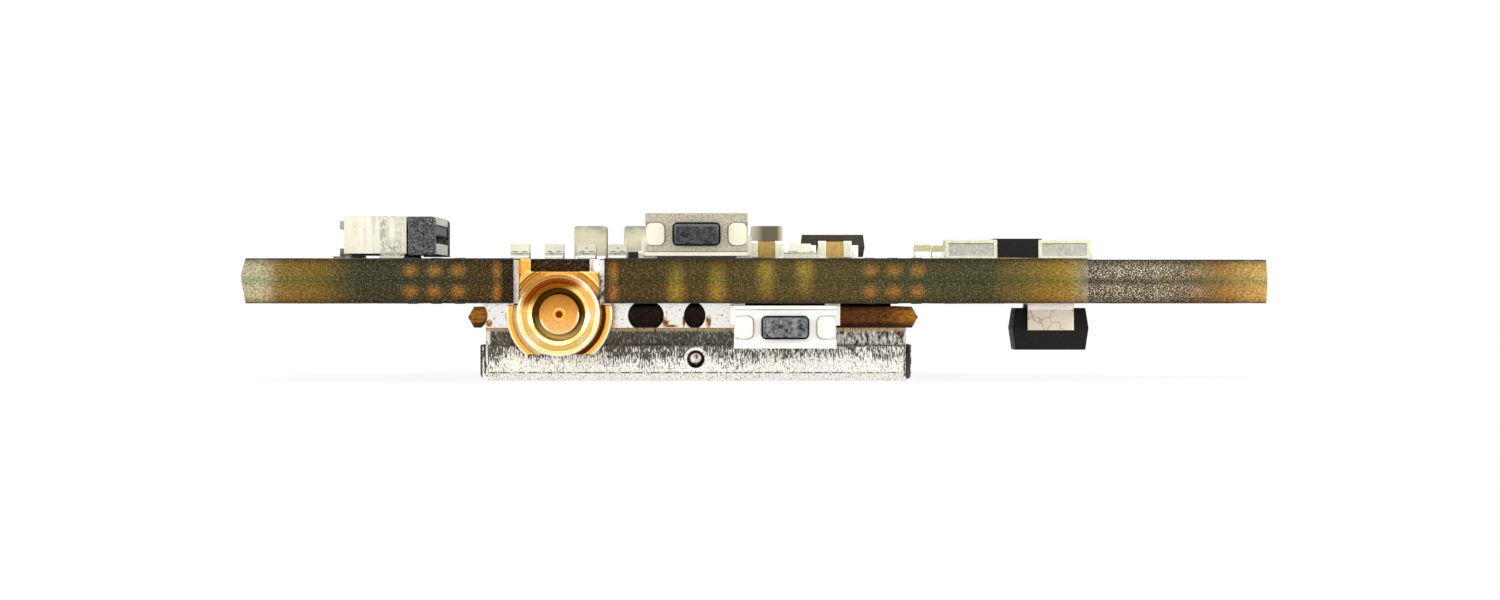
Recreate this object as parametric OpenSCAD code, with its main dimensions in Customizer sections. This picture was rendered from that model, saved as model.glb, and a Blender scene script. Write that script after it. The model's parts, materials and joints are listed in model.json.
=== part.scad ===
// Video transmitter board: a stacking circuit board with an edge-mounted aerial jack, two side-push buttons,
// a slide-lock ribbon connector, a shunt on a battery tab and a shielded transmitter module underneath.
// Millimetres. X runs right, Y away from the jack's edge, Z up. The origin is the centre of the mounting
// holes on the main board's underside.

/* [Main board] */
// Spacing of the mounting holes, both ways
hole_spacing = 30.5; // [29:0.5:36]
// Diameter of the mounting holes
hole_d = 3.2; // [2.2:0.1:3.6]
// Margin from the holes' centres to the left and right edges
side_margin = 3.6; // [3.2:0.05:6]
// Margin from the holes' centres to the front and back edges
end_margin = 2.75; // [2.5:0.05:6]
// Thickness of the main board
board_t = 2; // [1.4:0.1:2.6]
// Radius of the board's corners in plan
board_corner_r = 1.5; // [0.5:0.1:2]
// Length of the battery tab past the right edge
tab_l = 8.8; // [6:0.2:14]
// Width of the battery tab, front to back
tab_w = 18; // [15:0.5:24]
// How far the snapped left edge stands out at its ridge
ridge_out = 0.27; // [0.05:0.01:0.4]
// Depth of that ridge below the top face
ridge_drop = 0.8; // [0.3:0.05:1]
// How far the tab's end bulges at half thickness
tab_bulge = 0.1; // [0.02:0.01:0.2]

/* [Aerial jack] */
// Place of the jack's axis, left of centre
jack_x = -4.67; // [-7:0.01:-3.5]
// Depth of the jack's axis below the underside
jack_drop = 0.49; // [0.3:0.01:0.7]
// How far the barrel stands out past the board's edge
jack_proud = 0.5; // [0.2:0.05:1]
// Outer diameter of the barrel
barrel_d = 3.7; // [3.5:0.05:3.8]
// Length of the barrel, from its mouth to the block
barrel_l = 1.3; // [1:0.05:1.8]
// Width of the block that sits in the board's slot
block_w = 3.6; // [3.5:0.05:4]
// Height of the block above the axis
block_rise = 1.9; // [1.6:0.02:2]
// Length of the block
block_l = 2.6; // [2.2:0.1:3]
// Radius of the block's two upper shoulders
shoulder_r = 0.4; // [0.2:0.05:0.5]
// Width of the two ears on the block's top
ear_w = 0.46; // [0.3:0.02:0.6]
// Length of those ears
ear_run = 1.4; // [1:0.1:2]
// Gap between the block and each side of the slot
slot_gap = 0.225; // [0.05:0.005:0.3]
// Diameter of the soldered flange
flange_d = 4.7; // [4.4:0.05:5.2]
// Thickness of the flange
flange_t = 0.8; // [0.5:0.05:1.2]
// Depth of the flange's flat foot below the axis
flange_drop = 1.77; // [1.6:0.01:1.84]
// Width of the groove round the barrel's foot
groove_w = 0.23; // [0.1:0.01:0.24]
// Depth of that groove
groove_depth = 0.5; // [0.2:0.05:0.6]
// Thickness of the solder film over the flange
film_t = 0.07; // [0.03:0.01:0.15]
// Diameter of the jack's bore
bore_d = 2.35; // [2.1:0.05:2.6]
// Depth of the bore from the mouth
bore_depth = 2.4; // [2:0.1:2.8]
// Diameter of the flared mouth
mouth_d = 3.28; // [3:0.02:3.34]
// Depth of the flared mouth
mouth_depth = 0.42; // [0.3:0.02:0.8]
// Diameter at the foot of the flare
throat_d = 2.76; // [2.64:0.02:2.9]
// Diameter of the insulator
insulator_d = 1.8; // [1.4:0.05:1.9]
// How far the insulator's face lies behind the mouth
insulator_recess = 1.1; // [0.8:0.05:1.6]
// Diameter of the centre contact
contact_d = 0.65; // [0.45:0.05:0.8]
// Diameter of the hole in the centre contact
contact_hole_d = 0.3; // [0.2:0.02:0.36]
// Depth of the hole in the centre contact
contact_hole_depth = 0.9; // [0.5:0.1:1.4]
// Length of the contact's tail behind the block
contact_tail = 0.7; // [0.5:0.05:0.75]

/* [Side buttons] */
// Place of the upper button, right of centre
upper_button_x = 1.43; // [1:0.01:2.5]
// Place of the lower button, right of centre
lower_button_x = 5.36; // [4:0.01:8]
// Setback of the covers from the board's front edge
button_setback = 0.1; // [0:0.05:0.3]
// Width of the metal cover
switch_w = 4.54; // [4.3:0.02:5]
// Height of the switch above its board
switch_h = 2; // [1.9:0.05:2.3]
// Depth of the switch, front to back
switch_d = 3.3; // [3:0.1:3.6]
// Thickness of the cover's sheet
cover_t = 0.15; // [0.1:0.01:0.2]
// Gap under the base, filled by the terminals
standoff = 0.1; // [0.05:0.01:0.15]
// Height of the white ledge under the cover's front
ledge_h = 0.28; // [0.2:0.01:0.34]
// Width of the step on each side of the base
step_w = 0.165; // [0.1:0.005:0.3]
// Height of that step
step_h = 0.98; // [0.7:0.02:1.2]
// Width of the two pegs in front
peg_w = 0.82; // [0.6:0.02:0.88]
// Height of the two pegs in front
peg_h = 1; // [0.8:0.02:1.2]
// How far the pegs stand out past the cover
peg_proud = 0.12; // [0.05:0.01:0.3]
// Width of the push button
push_w = 2; // [1.6:0.05:2.2]
// Height of the push button
push_h = 0.92; // [0.8:0.02:1]
// How far the push button stands out past the cover
push_proud = 0.6; // [0.4:0.05:1]
// Height of the push button's middle above its board
push_z = 1.07; // [1:0.01:1.15]
// Gap around the push button in the cover's window
push_gap = 0.06; // [0.05:0.01:0.12]
// Travel of the push button
push_travel = 0.2; // [0.1:0.02:0.26]
// Rise of the snap dome
dome_rise = 0.3; // [0.2:0.02:0.36]
// Diameter of the snap dome
dome_d = 1.3; // [1:0.05:1.4]

/* [Transmitter module] */
// Place of the module's middle, right of centre
module_x = 1.225; // [0:0.025:2.5]
// Width of the module's board
module_w = 20.31; // [20:0.01:22]
// Depth of the module's board
module_d = 26; // [25.9:0.1:28]
// Thickness of the module's board
module_t = 0.95; // [0.8:0.05:1.2]
// Solder gap between the two boards
module_gap = 0.15; // [0.05:0.01:0.25]
// Setback of the module from the board's front edge
module_setback = 5; // [4.8:0.1:6]
// Distance of the raised land on the module from its edges
land_inset = 1.2; // [0.8:0.1:2]
// How far the broken left and right ends stand out at their ridge
module_ridge = 0.28; // [0.05:0.01:0.35]
// Reach of a solder joint in front of the module's edge
joint_out = 0.4; // [0.34:0.01:0.5]
// How much a solder joint widens towards both boards, each side
joint_flare = 0.3; // [0.1:0.02:0.32]
// Diameter of the half holes in the module's edges
half_hole_d = 0.7; // [0.4:0.05:0.75]
// How far the shield sits right of the module's middle
lid_shift = 0.125; // [-0.2:0.025:0.3]
// How far the lid's left and right flaps lie inside the module's edges
lid_inset_w = 0.405; // [0.3:0.005:0.8]
// How far the lid's front and back flaps lie inside the module's edges
lid_inset_d = 0.3; // [0.1:0.05:0.6]
// Height of the lid's flaps
lid_h = 1.62; // [1.3:0.02:2]
// Height of the whole shield under the module's board
shield_h = 2.4; // [2.2:0.05:3]
// Thickness of the shield's sheet
sheet_t = 0.2; // [0.12:0.01:0.25]
// Outer radius of the lid's bends
bend_r = 0.36; // [0.26:0.01:0.4]
// Width of the slit at the lid's corners
lid_slit = 0.16; // [0.08:0.01:0.3]
// Gap between lid and frame
shield_fit = 0.05; // [0.03:0.01:0.1]
// Diameter of the lid's locking dimples
dimple_d = 0.8; // [0.7:0.05:1]
// Depth of those dimples
dimple_depth = 0.28; // [0.1:0.01:0.3]
// Height of the dimples above the lid's flat side
dimple_h = 0.98; // [0.9:0.02:1.1]
// Width of the frame's bridge
bridge_w = 3; // [2:0.1:5]
// Side of the square transmitter chip
transmitter_w = 5; // [4:0.5:7]
// Side of the square amplifier chip
amplifier_w = 3; // [2:0.5:4]
// Height of the chips in the shield
shielded_chip_h = 0.85; // [0.6:0.05:1.1]

/* [Ribbon connector] */
// Number of contacts
ribbon_ways = 20; // [16:1:22]
// Pitch of the contacts
ribbon_pitch = 0.5; // [0.48:0.01:0.52]
// Length of the housing past the last contact, each end
ribbon_margin = 1.75; // [1.7:0.05:2.2]
// Distance of the housing from the board's left edge
ribbon_inset = 4.25; // [3:0.05:5]
// Setback of the connector from the board's front edge
ribbon_setback = 6; // [5.8:0.1:8]
// Width of the housing
ribbon_w = 2.83; // [2.6:0.01:3.2]
// Height of the connector above the board
ribbon_h = 1.95; // [1.85:0.01:2.2]
// Gap under the housing
ribbon_clear = 0.25; // [0.16:0.01:0.3]
// Width of the lock's ears
lock_w = 1.21; // [1:0.01:1.5]
// Gap between the closed lock and the housing
lock_gap = 0.08; // [0.05:0.01:0.12]
// Gap under the lock's ears
lock_clear = 0.19; // [0.17:0.01:0.25]
// Length of the lock's ears along the row
ear_l = 1; // [0.8:0.05:1.1]
// Radius of the ears' outer upper corner
ear_r = 0.16; // [0.05:0.01:0.3]
// Running clearance around the lock
lock_fit = 0.04; // [0.03:0.005:0.06]
// Travel of the lock
lock_travel = 0.7; // [0.5:0.05:0.9]
// Thickness of the housing's roof over the lock's bar
roof_t = 0.36; // [0.3:0.01:0.4]
// Height of the lock's bar
bar_h = 0.42; // [0.3:0.01:0.45]
// Thickness of the tongue that presses on the cable
tongue_t = 0.14; // [0.1:0.01:0.18]
// Reach of that tongue into the housing
tongue_l = 0.5; // [0.3:0.02:0.6]
// Width of the guide on each of the lock's ears
guide_w = 0.3; // [0.2:0.02:0.36]
// Width of the fitting nail in each end
nail_w = 1.12; // [0.8:0.02:1.3]
// How far the fitting nails end below the housing's top
nail_drop = 0.05; // [0.02:0.01:0.4]
// Thickness of the fitting nails
nail_t = 0.15; // [0.1:0.01:0.2]

/* [Lamps] */
// Places of the four lamps in a row
lamp_x = [-6.56, -5.02, -3.56, -2.16]; // [-9:0.01:-1.7]
// Setback of that row from the board's front edge
lamp_setback = 4.5; // [4.3:0.1:5]
// Place of the side-on lamp
side_lamp_x = 6.07; // [5.6:0.01:6.6]
// Setback of that lamp from the board's front edge
side_lamp_setback = 1.6; // [1:0.1:2.4]
// Length of a lamp
lamp_l = 1.5; // [1.4:0.02:1.6]
// Width of a lamp
lamp_w = 0.85; // [0.7:0.05:0.95]
// Height of a lamp
lamp_h = 0.66; // [0.5:0.02:0.8]
// Thickness of a lamp's base
lamp_base_t = 0.26; // [0.15:0.01:0.35]
// Length of a lamp's lens at its foot
lens_l = 1.18; // [0.9:0.02:1.22]
// Slope of the lens's ends, taken off its length at the top
lens_slope = 0.16; // [0.05:0.01:0.25]

/* [Chip parts] */
// Length of a small capacitor
small_l = 1.5; // [1.4:0.01:1.52]
// Width of a small capacitor
small_w = 0.8; // [0.6:0.02:0.84]
// Height of a small capacitor
small_h = 0.8; // [0.6:0.02:0.9]
// Length of a small capacitor's end caps
small_band = 0.36; // [0.2:0.02:0.5]
// Places of the two small capacitors beside the side-on lamp
small_x = [4.53, 7.61]; // [4.5:0.01:7.64]
// Gap between the button and the row behind it
row_gap = 0.3; // [0.2:0.05:0.5]
// Places of the two small capacitors on the right
right_small_x = [12.06, 12.96]; // [11.5:0.01:14]
// Setbacks of the two small capacitors on the right
right_small_setback = [20, 22.2]; // [17:0.1:25]
// Length of a large capacitor
large_l = 3.2; // [3:0.05:3.4]
// Width of a large capacitor
large_w = 1.56; // [1.2:0.02:1.6]
// Height of a large capacitor
large_h = 1.75; // [1.2:0.05:1.9]
// Length of a large capacitor's end caps
large_band = 0.55; // [0.3:0.05:0.8]
// Places of the three large capacitors at the back
large_x = [-3.97, -1.55, 4.6]; // [-5:0.01:6]
// Setback of the large capacitors from the board's front edge
large_setback = 25; // [24:0.1:26]
// Thickness of the metal on the end caps
cap_wall = 0.03; // [0.02:0.005:0.05]
// Length of the chip resistor
resistor_l = 0.95; // [0.8:0.05:1]
// Width of the chip resistor
resistor_w = 0.5; // [0.4:0.02:0.55]
// Height of the chip resistor
resistor_h = 0.36; // [0.3:0.02:0.45]
// Length of the chip resistor's end caps
resistor_band = 0.25; // [0.15:0.01:0.3]
// Place of the chip resistor
resistor_x = -1.495; // [-1.6:0.005:-1.2]

/* [Regulator and control] */
// Place of the regulator chip
regulator_x = 7.53; // [7:0.01:8.5]
// Length of the regulator chip's body
regulator_l = 2.9; // [2.7:0.05:3.1]
// Width of the regulator chip's body
regulator_w = 1.6; // [1.4:0.05:1.8]
// Height of the regulator chip
regulator_h = 1.1; // [0.9:0.05:1.3]
// Pitch of the regulator chip's leads
regulator_pitch = 0.95; // [0.8:0.01:1]
// Reach of a lead past the body
lead_reach = 0.6; // [0.5:0.02:0.7]
// Side of the square control chip
control_w = 4; // [3:0.5:5]
// Height of the control chip
control_h = 0.8; // [0.6:0.05:1]
// Setback of the control chip from the board's front edge
control_setback = 8.5; // [8:0.1:9]
// Side of the square power inductor
inductor_w = 4; // [3:0.1:5]
// Height of the power inductor
inductor_h = 1.8; // [1.4:0.05:2]
// Setback of the power inductor from the board's front edge
inductor_setback = 16; // [15:0.1:18]

/* [Shunt and surge diode] */
// Length of the shunt
shunt_l = 6.7; // [6.2:0.05:7]
// Width of the shunt
shunt_w = 3.2; // [2.8:0.05:3.4]
// Height of the shunt
shunt_h = 0.98; // [0.7:0.02:1.3]
// Length of the shunt's black middle
shunt_mid_l = 1.9; // [1.5:0.05:2.6]
// How far the black cap laps over each terminal
shunt_lap = 0.16; // [0.08:0.02:0.3]
// Thickness of that lap
shunt_lap_t = 0.05; // [0.03:0.01:0.1]
// Rim left round the sunk front and back of each terminal
terminal_rim = 0.17; // [0.1:0.01:0.25]
// Depth of that sunk face
terminal_sink = 0.06; // [0.03:0.01:0.1]
// Distance from the shunt's left end to the board's right edge
shunt_inset = 6.05; // [5:0.05:6.5]
// Setback of the shunt from the board's front edge
shunt_setback = 10.5; // [10.2:0.1:12]
// Length of the surge diode's body, front to back
diode_l = 4.4; // [4:0.05:4.7]
// Width of the surge diode's body
diode_w = 3.53; // [3.2:0.01:3.8]
// Height of the surge diode under the board
diode_h = 2.16; // [1.9:0.02:2.5]
// Depth below the board where the diode's body is widest
diode_waist = 1.15; // [1:0.01:1.3]
// Draft taken off each face of the diode's body
diode_draft = 0.14; // [0.05:0.01:0.25]
// Width of the surge diode's leads
diode_lead_w = 2.14; // [1.8:0.02:2.4]
// Thickness of the surge diode's leads
diode_lead_t = 0.2; // [0.12:0.01:0.24]
// Distance from the diode's left side to the board's right edge
diode_inset = 2.88; // [2:0.02:3.2]
// Setback of the diode's body from the board's front edge
diode_setback = 12; // [11.5:0.1:14]

/* [Hidden] */
$fn = 48;
// Overshoot of a cut past the face it opens, the smallest gap between pieces pushed together, and the jack's
// broken edges
cut = 0.3;
seat = 0.02;
rim_cut = 0.06;
foot_cut = 0.35;
board_w = hole_spacing + 2 * side_margin;
board_d = hole_spacing + 2 * end_margin;
front = -board_d / 2;
left = -board_w / 2;
right = board_w / 2;
module_bottom = -module_gap - module_t;
module_front = front + module_setback;
module_y = module_front + module_d / 2;
shield_bottom = module_bottom - shield_h;
lid_x = module_x + lid_shift;
lid_w = module_w - 2 * lid_inset_w;
lid_d = module_d - 2 * lid_inset_d;
frame_w = lid_w - 2 * (sheet_t + shield_fit);
frame_d = lid_d - 2 * (sheet_t + shield_fit);
frame_h = shield_h - sheet_t - shield_fit;
// Solder joints: one near the module's left end, one behind the jack and three about its middle, and the
// width of each at half height
joint_inset = 1.31;
middle_joints = [-3.515, -0.855, 1.225];
joint_waist = [0.8, 0.9, 1.17, 0.9, 1.3];
joint_x = concat([module_x - module_w / 2 + joint_inset, jack_x], [for (x = middle_joints) module_x + x]);
block_front = front - jack_proud + barrel_l;
block_back = block_front + block_l;
slot_back = block_back + slot_gap;
ribbon_l = (ribbon_ways - 1) * ribbon_pitch + 2 * ribbon_margin;
nail_h = ribbon_h - nail_drop;
lock_x = ribbon_w + lock_gap;
lock_end = lock_x + lock_w;
lock_top = ribbon_h - seat;
roof_low = ribbon_h - roof_t;
bar_top = roof_low - lock_fit;
bar_low = bar_top - bar_h;
row_setback = button_setback + switch_d + row_gap;
// Flange that keeps a push button in, and the wall behind the snap dome
push_flange = 0.3;
push_flange_t = 0.35;
dome_wall = 0.7;
cavity_back = switch_d - dome_wall;
// Ribbon contact: depth of its riser, thickness of its legs, heights of its beams, its tail, strip and stubs
contact_riser = 0.24;
contact_leg = 0.14;
contact_top = 1.75;
contact_low = 0.62;
contact_tail_l = 0.62;
contact_t = 0.2;
stub_out = 0.3;
stub_h = 0.36;
// Ribbon lock: set-back of its bar and of the roof, height of its guides, and the length that stays held
bar_back = 0.1;
roof_back = 0.06;
guide_h = 0.4;
guide_hold = 0.25;
// Regulator lead: thickness, width and foot
lead_t = 0.13;
lead_w = 0.4;
lead_foot = 0.3;
// Inductor feet
inductor_foot_t = 0.15;
inductor_foot_l = 0.9;
inductor_foot_share = 0.7;
// Crystal and small capacitors in the shield
crystal_l = 3.2;
crystal_w = 2.5;
crystal_h = 0.75;
shielded_row = 6;
shielded_pitch = 1.3;
regulator_setback = row_setback + small_w + row_gap + lead_reach;

// Shared shapes

// A section drawn in X and Z, carried back along Y
module along_y(length) {
    translate([0, length, 0])
        rotate([90, 0, 0])
            linear_extrude(length)
                children();
}

// A section drawn in Y and Z, carried right along X
module along_x(length) {
    rotate([90, 0, 90])
        linear_extrude(length)
            children();
}

// A rectangle with round corners, about the origin
module round_rect(w, h, r) {
    square([w - 2 * r, h], center = true);
    square([w, h - 2 * r], center = true);
    for (sx = [-1, 1], sy = [-1, 1])
        translate([sx * (w / 2 - r), sy * (h / 2 - r)])
            circle(r);
}

// A box between two corners
module span(low, high) {
    translate(low)
        cube(high - low);
}

// A round cap of a ball, standing on z = 0
module ball_cap(chord_r, rise) {
    ball_r = (chord_r * chord_r + rise * rise) / (2 * rise);
    rotate_extrude()
        intersection() {
            translate([0, rise - ball_r])
                circle(ball_r);
            square([chord_r, rise]);
        }
}

// A moulded package with draft to both sides of its parting line
module moulded_body(l, w, h, waist, draft) {
    intersection() {
        translate([0, -w / 2, 0])
            along_y(w)
                moulded_section(l, h, waist, draft);
        translate([-l / 2, 0, 0])
            along_x(l)
                moulded_section(w, h, waist, draft);
    }
}

module moulded_section(w, h, waist, draft) {
    polygon([
        [-w / 2 + draft, 0], [w / 2 - draft, 0], [w / 2, waist],
        [w / 2 - draft, h], [-w / 2 + draft, h], [-w / 2, waist]
    ]);
}

// A square leadless chip on z = 0
module flat_chip(w, h) {
    translate([-w / 2, -w / 2, 0])
        cube([w, w, h]);
}

// A ceramic chip along X, standing on z = 0, and the metal caps on its ends
module chip_body(l, w, h) {
    span([-l / 2 + cap_wall, -w / 2 + cap_wall, cap_wall],
        [l / 2 - cap_wall, w / 2 - cap_wall, h - cap_wall]);
}

module chip_ends(l, w, h, band) {
    corner_r = w / 10;
    for (side = [-1, 1])
        difference() {
            translate([side * (l - band) / 2 - band / 2, 0, h / 2])
                along_x(band)
                    round_rect(w, h, corner_r);
            chip_body(l, w, h);
        }
}

// Main board

module board_outline() {
    tab_root = board_corner_r + cut;
    round_rect(board_w, board_d, board_corner_r);
    translate([right + (tab_l - tab_root) / 2, 0])
        round_rect(tab_l + tab_root, tab_w, board_corner_r);
}

// The edge profile: a ridge where the left edge was snapped from its panel, a slight bulge on the tab
module board_section() {
    tab_end = right + tab_l;
    polygon([
        [left + ridge_out, 0], [tab_end - tab_bulge, 0], [tab_end, board_t / 2],
        [tab_end - tab_bulge, board_t], [left + ridge_out, board_t], [left, board_t - ridge_drop]
    ]);
}

module main_board() {
    slot_w = block_w + 2 * slot_gap;
    color([0.16, 0.15, 0.10])
        difference() {
            intersection() {
                linear_extrude(board_t)
                    board_outline();
                translate([0, front - cut, 0])
                    along_y(board_d + 2 * cut)
                        board_section();
            }
            for (sx = [-1, 1], sy = [-1, 1])
                translate([sx * hole_spacing / 2, sy * hole_spacing / 2, -cut])
                    cylinder(d = hole_d, h = board_t + 2 * cut);
            span([jack_x - slot_w / 2, front - cut, -cut], [jack_x + slot_w / 2, slot_back, board_t + cut]);
        }
}

// Aerial jack

// Puts a shape drawn along +Z on the jack's axis, starting at the mouth
module on_jack_axis() {
    translate([jack_x, front - jack_proud, -jack_drop])
        rotate([-90, 0, 0])
            children();
}

module jack_block_section() {
    half_w = block_w / 2;
    translate([0, block_rise / 2])
        round_rect(block_w, block_rise, shoulder_r);
    polygon([
        [-half_w, block_rise / 2], [-half_w, -flange_drop + 2 * foot_cut], [-half_w + foot_cut, -flange_drop],
        [half_w - foot_cut, -flange_drop], [half_w, -flange_drop + 2 * foot_cut], [half_w, block_rise / 2]
    ]);
}

// The barrel, with its mouth's outer edge broken
module jack_barrel() {
    rotate_extrude()
        polygon([
            [0, 0], [barrel_d / 2 - rim_cut, 0], [barrel_d / 2, rim_cut],
            [barrel_d / 2, barrel_l + cut], [0, barrel_l + cut]
        ]);
}

// The groove round the barrel's foot, cut into the block's shoulders and the flange
module jack_groove() {
    rotate_extrude()
        translate([barrel_d / 2 - seat, -cut])
            square([groove_w + seat, groove_depth + cut]);
}

module jack_body() {
    flange_top = jack_drop - film_t;
    ear_top = jack_drop + board_t - seat;
    half_w = block_w / 2 - seat;
    color([0.83, 0.55, 0.16])
        difference() {
            union() {
                translate([jack_x, block_front, -jack_drop])
                    difference() {
                        union() {
                            along_y(block_l)
                                jack_block_section();
                            intersection() {
                                rotate([-90, 0, 0])
                                    cylinder(d = flange_d, h = flange_t);
                                span([-flange_d, -cut, -flange_drop], [flange_d, flange_t + cut, flange_top]);
                            }
                        }
                        rotate([-90, 0, 0])
                            jack_groove();
                    }
                translate([jack_x, block_front, -jack_drop])
                    for (side = [0, 1])
                        mirror([side, 0, 0])
                            span([half_w - ear_w, block_l - ear_run, block_rise - shoulder_r - cut],
                                [half_w, block_l - seat, ear_top]);
                on_jack_axis()
                    jack_barrel();
            }
            on_jack_axis()
                jack_bore();
        }
}

// The flared mouth, the bore, and the seat that grips the insulator
module jack_bore() {
    through = barrel_l + block_l + cut;
    rotate_extrude()
        polygon([
            [0, -cut], [mouth_d / 2, -cut], [mouth_d / 2, 0],
            [throat_d / 2, mouth_depth], [bore_d / 2, mouth_depth + rim_cut], [bore_d / 2, bore_depth],
            [insulator_d / 2, bore_depth], [insulator_d / 2, through], [0, through]
        ]);
}

module jack_insulator() {
    insulator_l = barrel_l + block_l - insulator_recess;
    color([0.80, 0.62, 0.36])
        on_jack_axis()
            translate([0, 0, insulator_recess])
                difference() {
                    cylinder(d = insulator_d - seat, h = insulator_l);
                    translate([0, 0, -cut])
                        cylinder(d = contact_d, h = insulator_l + 2 * cut);
                }
}

module jack_contact() {
    contact_l = barrel_l + block_l + contact_tail - insulator_recess;
    color([0.86, 0.64, 0.24])
        on_jack_axis()
            translate([0, 0, insulator_recess])
                difference() {
                    cylinder(d = contact_d - seat, h = contact_l);
                    translate([0, 0, -cut])
                        cylinder(d = contact_hole_d, h = contact_hole_depth + cut);
                }
}

// Films over the flange, wedges in the slot's two sides, and the mound around the contact's tail
module jack_solder() {
    half_w = block_w / 2;
    mound_r = contact_d;
    mound_l = contact_tail - slot_gap;
    color([0.78, 0.78, 0.76]) {
        for (side = [-1, 1])
            translate([jack_x, block_front, 0])
                mirror([side < 0 ? 1 : 0, 0, 0]) {
                    span([half_w + slot_gap, 0, -film_t], [flange_d / 2 - film_t, flange_t, 0]);
                    span([half_w, 0, 0], [half_w + slot_gap, block_l, board_t - film_t]);
                }
        difference() {
            translate([jack_x, slot_back, -jack_drop])
                rotate([-90, 0, 0])
                    cylinder(r = mound_r, h = mound_l);
            on_jack_axis()
                cylinder(d = contact_d - seat, h = barrel_l + block_l + contact_tail + cut);
            translate([jack_x, slot_back, 0])
                span([-2 * mound_r, -cut, 0], [2 * mound_r, mound_l + cut, mound_r]);
        }
    }
}

// Side buttons

// Puts a switch, drawn with its cover's front at y = 0 and its board at z = 0, on the upper or the lower face
module on_face(face) {
    place_x = face == "upper" ? upper_button_x : lower_button_x;
    translate([place_x, front + button_setback, face == "upper" ? board_t : 0])
        mirror([0, 0, face == "upper" ? 0 : 1])
            children();
}

module peg_section(grow) {
    peg_x = switch_w / 2 - peg_w / 2 - cover_t / 4;
    for (side = [-1, 1])
        translate([side * peg_x, push_z])
            round_rect(peg_w + 2 * grow, peg_h + 2 * grow, peg_w / 3);
}

module switch_base() {
    inner_w = switch_w - 2 * (cover_t + seat);
    base_front = cover_t + seat;
    base_top = switch_h - cover_t - seat;
    cavity_w = push_w + 2 * (push_flange + push_gap);
    difference() {
        union() {
            span([-inner_w / 2, base_front, standoff], [inner_w / 2, switch_d, base_top]);
            span([-switch_w / 2 - step_w, base_front, standoff], [switch_w / 2 + step_w, switch_d, step_h]);
            span([-switch_w / 2, 0, standoff], [switch_w / 2, base_front + seat, ledge_h]);
            translate([0, -peg_proud, 0])
                along_y(peg_proud + base_front + seat)
                    peg_section(0);
        }
        span([-cavity_w / 2, -cut, ledge_h], [cavity_w / 2, cavity_back, base_top + cut]);
    }
}

module switch_cover() {
    side_low = step_h + seat;
    difference() {
        union() {
            span([-switch_w / 2, 0, switch_h - cover_t], [switch_w / 2, switch_d - cover_t, switch_h]);
            span([-switch_w / 2, 0, ledge_h + seat], [switch_w / 2, cover_t, switch_h]);
            for (side = [-1, 1])
                translate([side * (switch_w - cover_t) / 2, 0, 0])
                    span([-cover_t / 2, switch_d / 4, side_low], [cover_t / 2, switch_d * 3 / 4, switch_h]);
        }
        translate([0, -cut, push_z])
            along_y(2 * cut)
                round_rect(push_w + 2 * push_gap, push_h + 2 * push_gap, push_h / 4);
        translate([0, -cut, 0])
            along_y(2 * cut)
                peg_section(seat);
        for (side = [-1, 1])
            translate([side * switch_w / 2, 0, push_z])
                span([-peg_w / 2, -cut, -peg_h / 2 - seat], [peg_w / 2, cover_t + seat, peg_h / 2 + seat]);
    }
}

// The button, the flange that keeps it behind the cover, and the nib that works the dome
module switch_push() {
    flange_front = cover_t + seat;
    nib_end = cavity_back - dome_rise - push_travel - seat;
    translate([0, 0, push_z]) {
        translate([0, -push_proud, 0])
            along_y(push_proud + flange_front + seat)
                round_rect(push_w, push_h, push_h / 5);
        translate([0, flange_front, 0])
            along_y(push_flange_t)
                round_rect(push_w + 2 * push_flange, push_h + push_flange, push_h / 5);
        translate([0, flange_front + push_flange_t - seat, 0])
            rotate([-90, 0, 0])
                cylinder(d = push_h / 2, h = nib_end - flange_front - push_flange_t + seat);
    }
}

module switch_dome() {
    sheet = cover_t / 2;
    translate([0, cavity_back, push_z])
        rotate([90, 0, 0])
            difference() {
                ball_cap(dome_d / 2, dome_rise);
                translate([0, 0, -sheet])
                    ball_cap(dome_d / 2, dome_rise);
            }
}

module switch_terminals() {
    reach = switch_w / 2 + step_w;
    strip_l = switch_d / 5;
    for (side = [-1, 1], place = [switch_d / 4, switch_d * 3 / 4])
        translate([0, place, 0])
            mirror([side < 0 ? 1 : 0, 0, 0])
                span([reach - strip_l, -strip_l / 2, 0], [reach, strip_l / 2, standoff]);
}

module button_base(face) {
    color([0.93, 0.92, 0.88])
        on_face(face)
            switch_base();
}

module button_cover(face) {
    color([0.72, 0.70, 0.64])
        on_face(face)
            switch_cover();
}

module button_push(face) {
    color([0.16, 0.18, 0.19])
        on_face(face)
            switch_push();
}

module button_dome(face) {
    color([0.80, 0.80, 0.80])
        on_face(face)
            switch_dome();
}

module button_terminals(face) {
    color([0.80, 0.79, 0.76])
        on_face(face)
            switch_terminals();
}

// Transmitter module

module module_plate() {
    half_w = module_w / 2;
    flat_w = half_w - module_ridge;
    difference() {
        translate([module_x, module_front, -module_gap])
            along_y(module_d)
                polygon([
                    [-half_w, -module_t / 2], [-flat_w, 0], [flat_w, 0],
                    [half_w, -module_t / 2], [flat_w, -module_t], [-flat_w, -module_t]
                ]);
        for (x = joint_x, y = [module_front, module_front + module_d])
            translate([x, y, module_bottom - cut])
                cylinder(d = half_hole_d, h = module_t + 2 * cut);
    }
}

// The plate, and on it the raised land that lies against the main board
module module_board() {
    land_w = module_w - 2 * land_inset;
    color([0.30, 0.17, 0.09]) {
        module_plate();
        translate([module_x - land_w / 2, module_front + land_inset, 0])
            span([0, 0, -module_gap - seat], [land_w, module_d - 2 * land_inset, 0]);
    }
}

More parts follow.
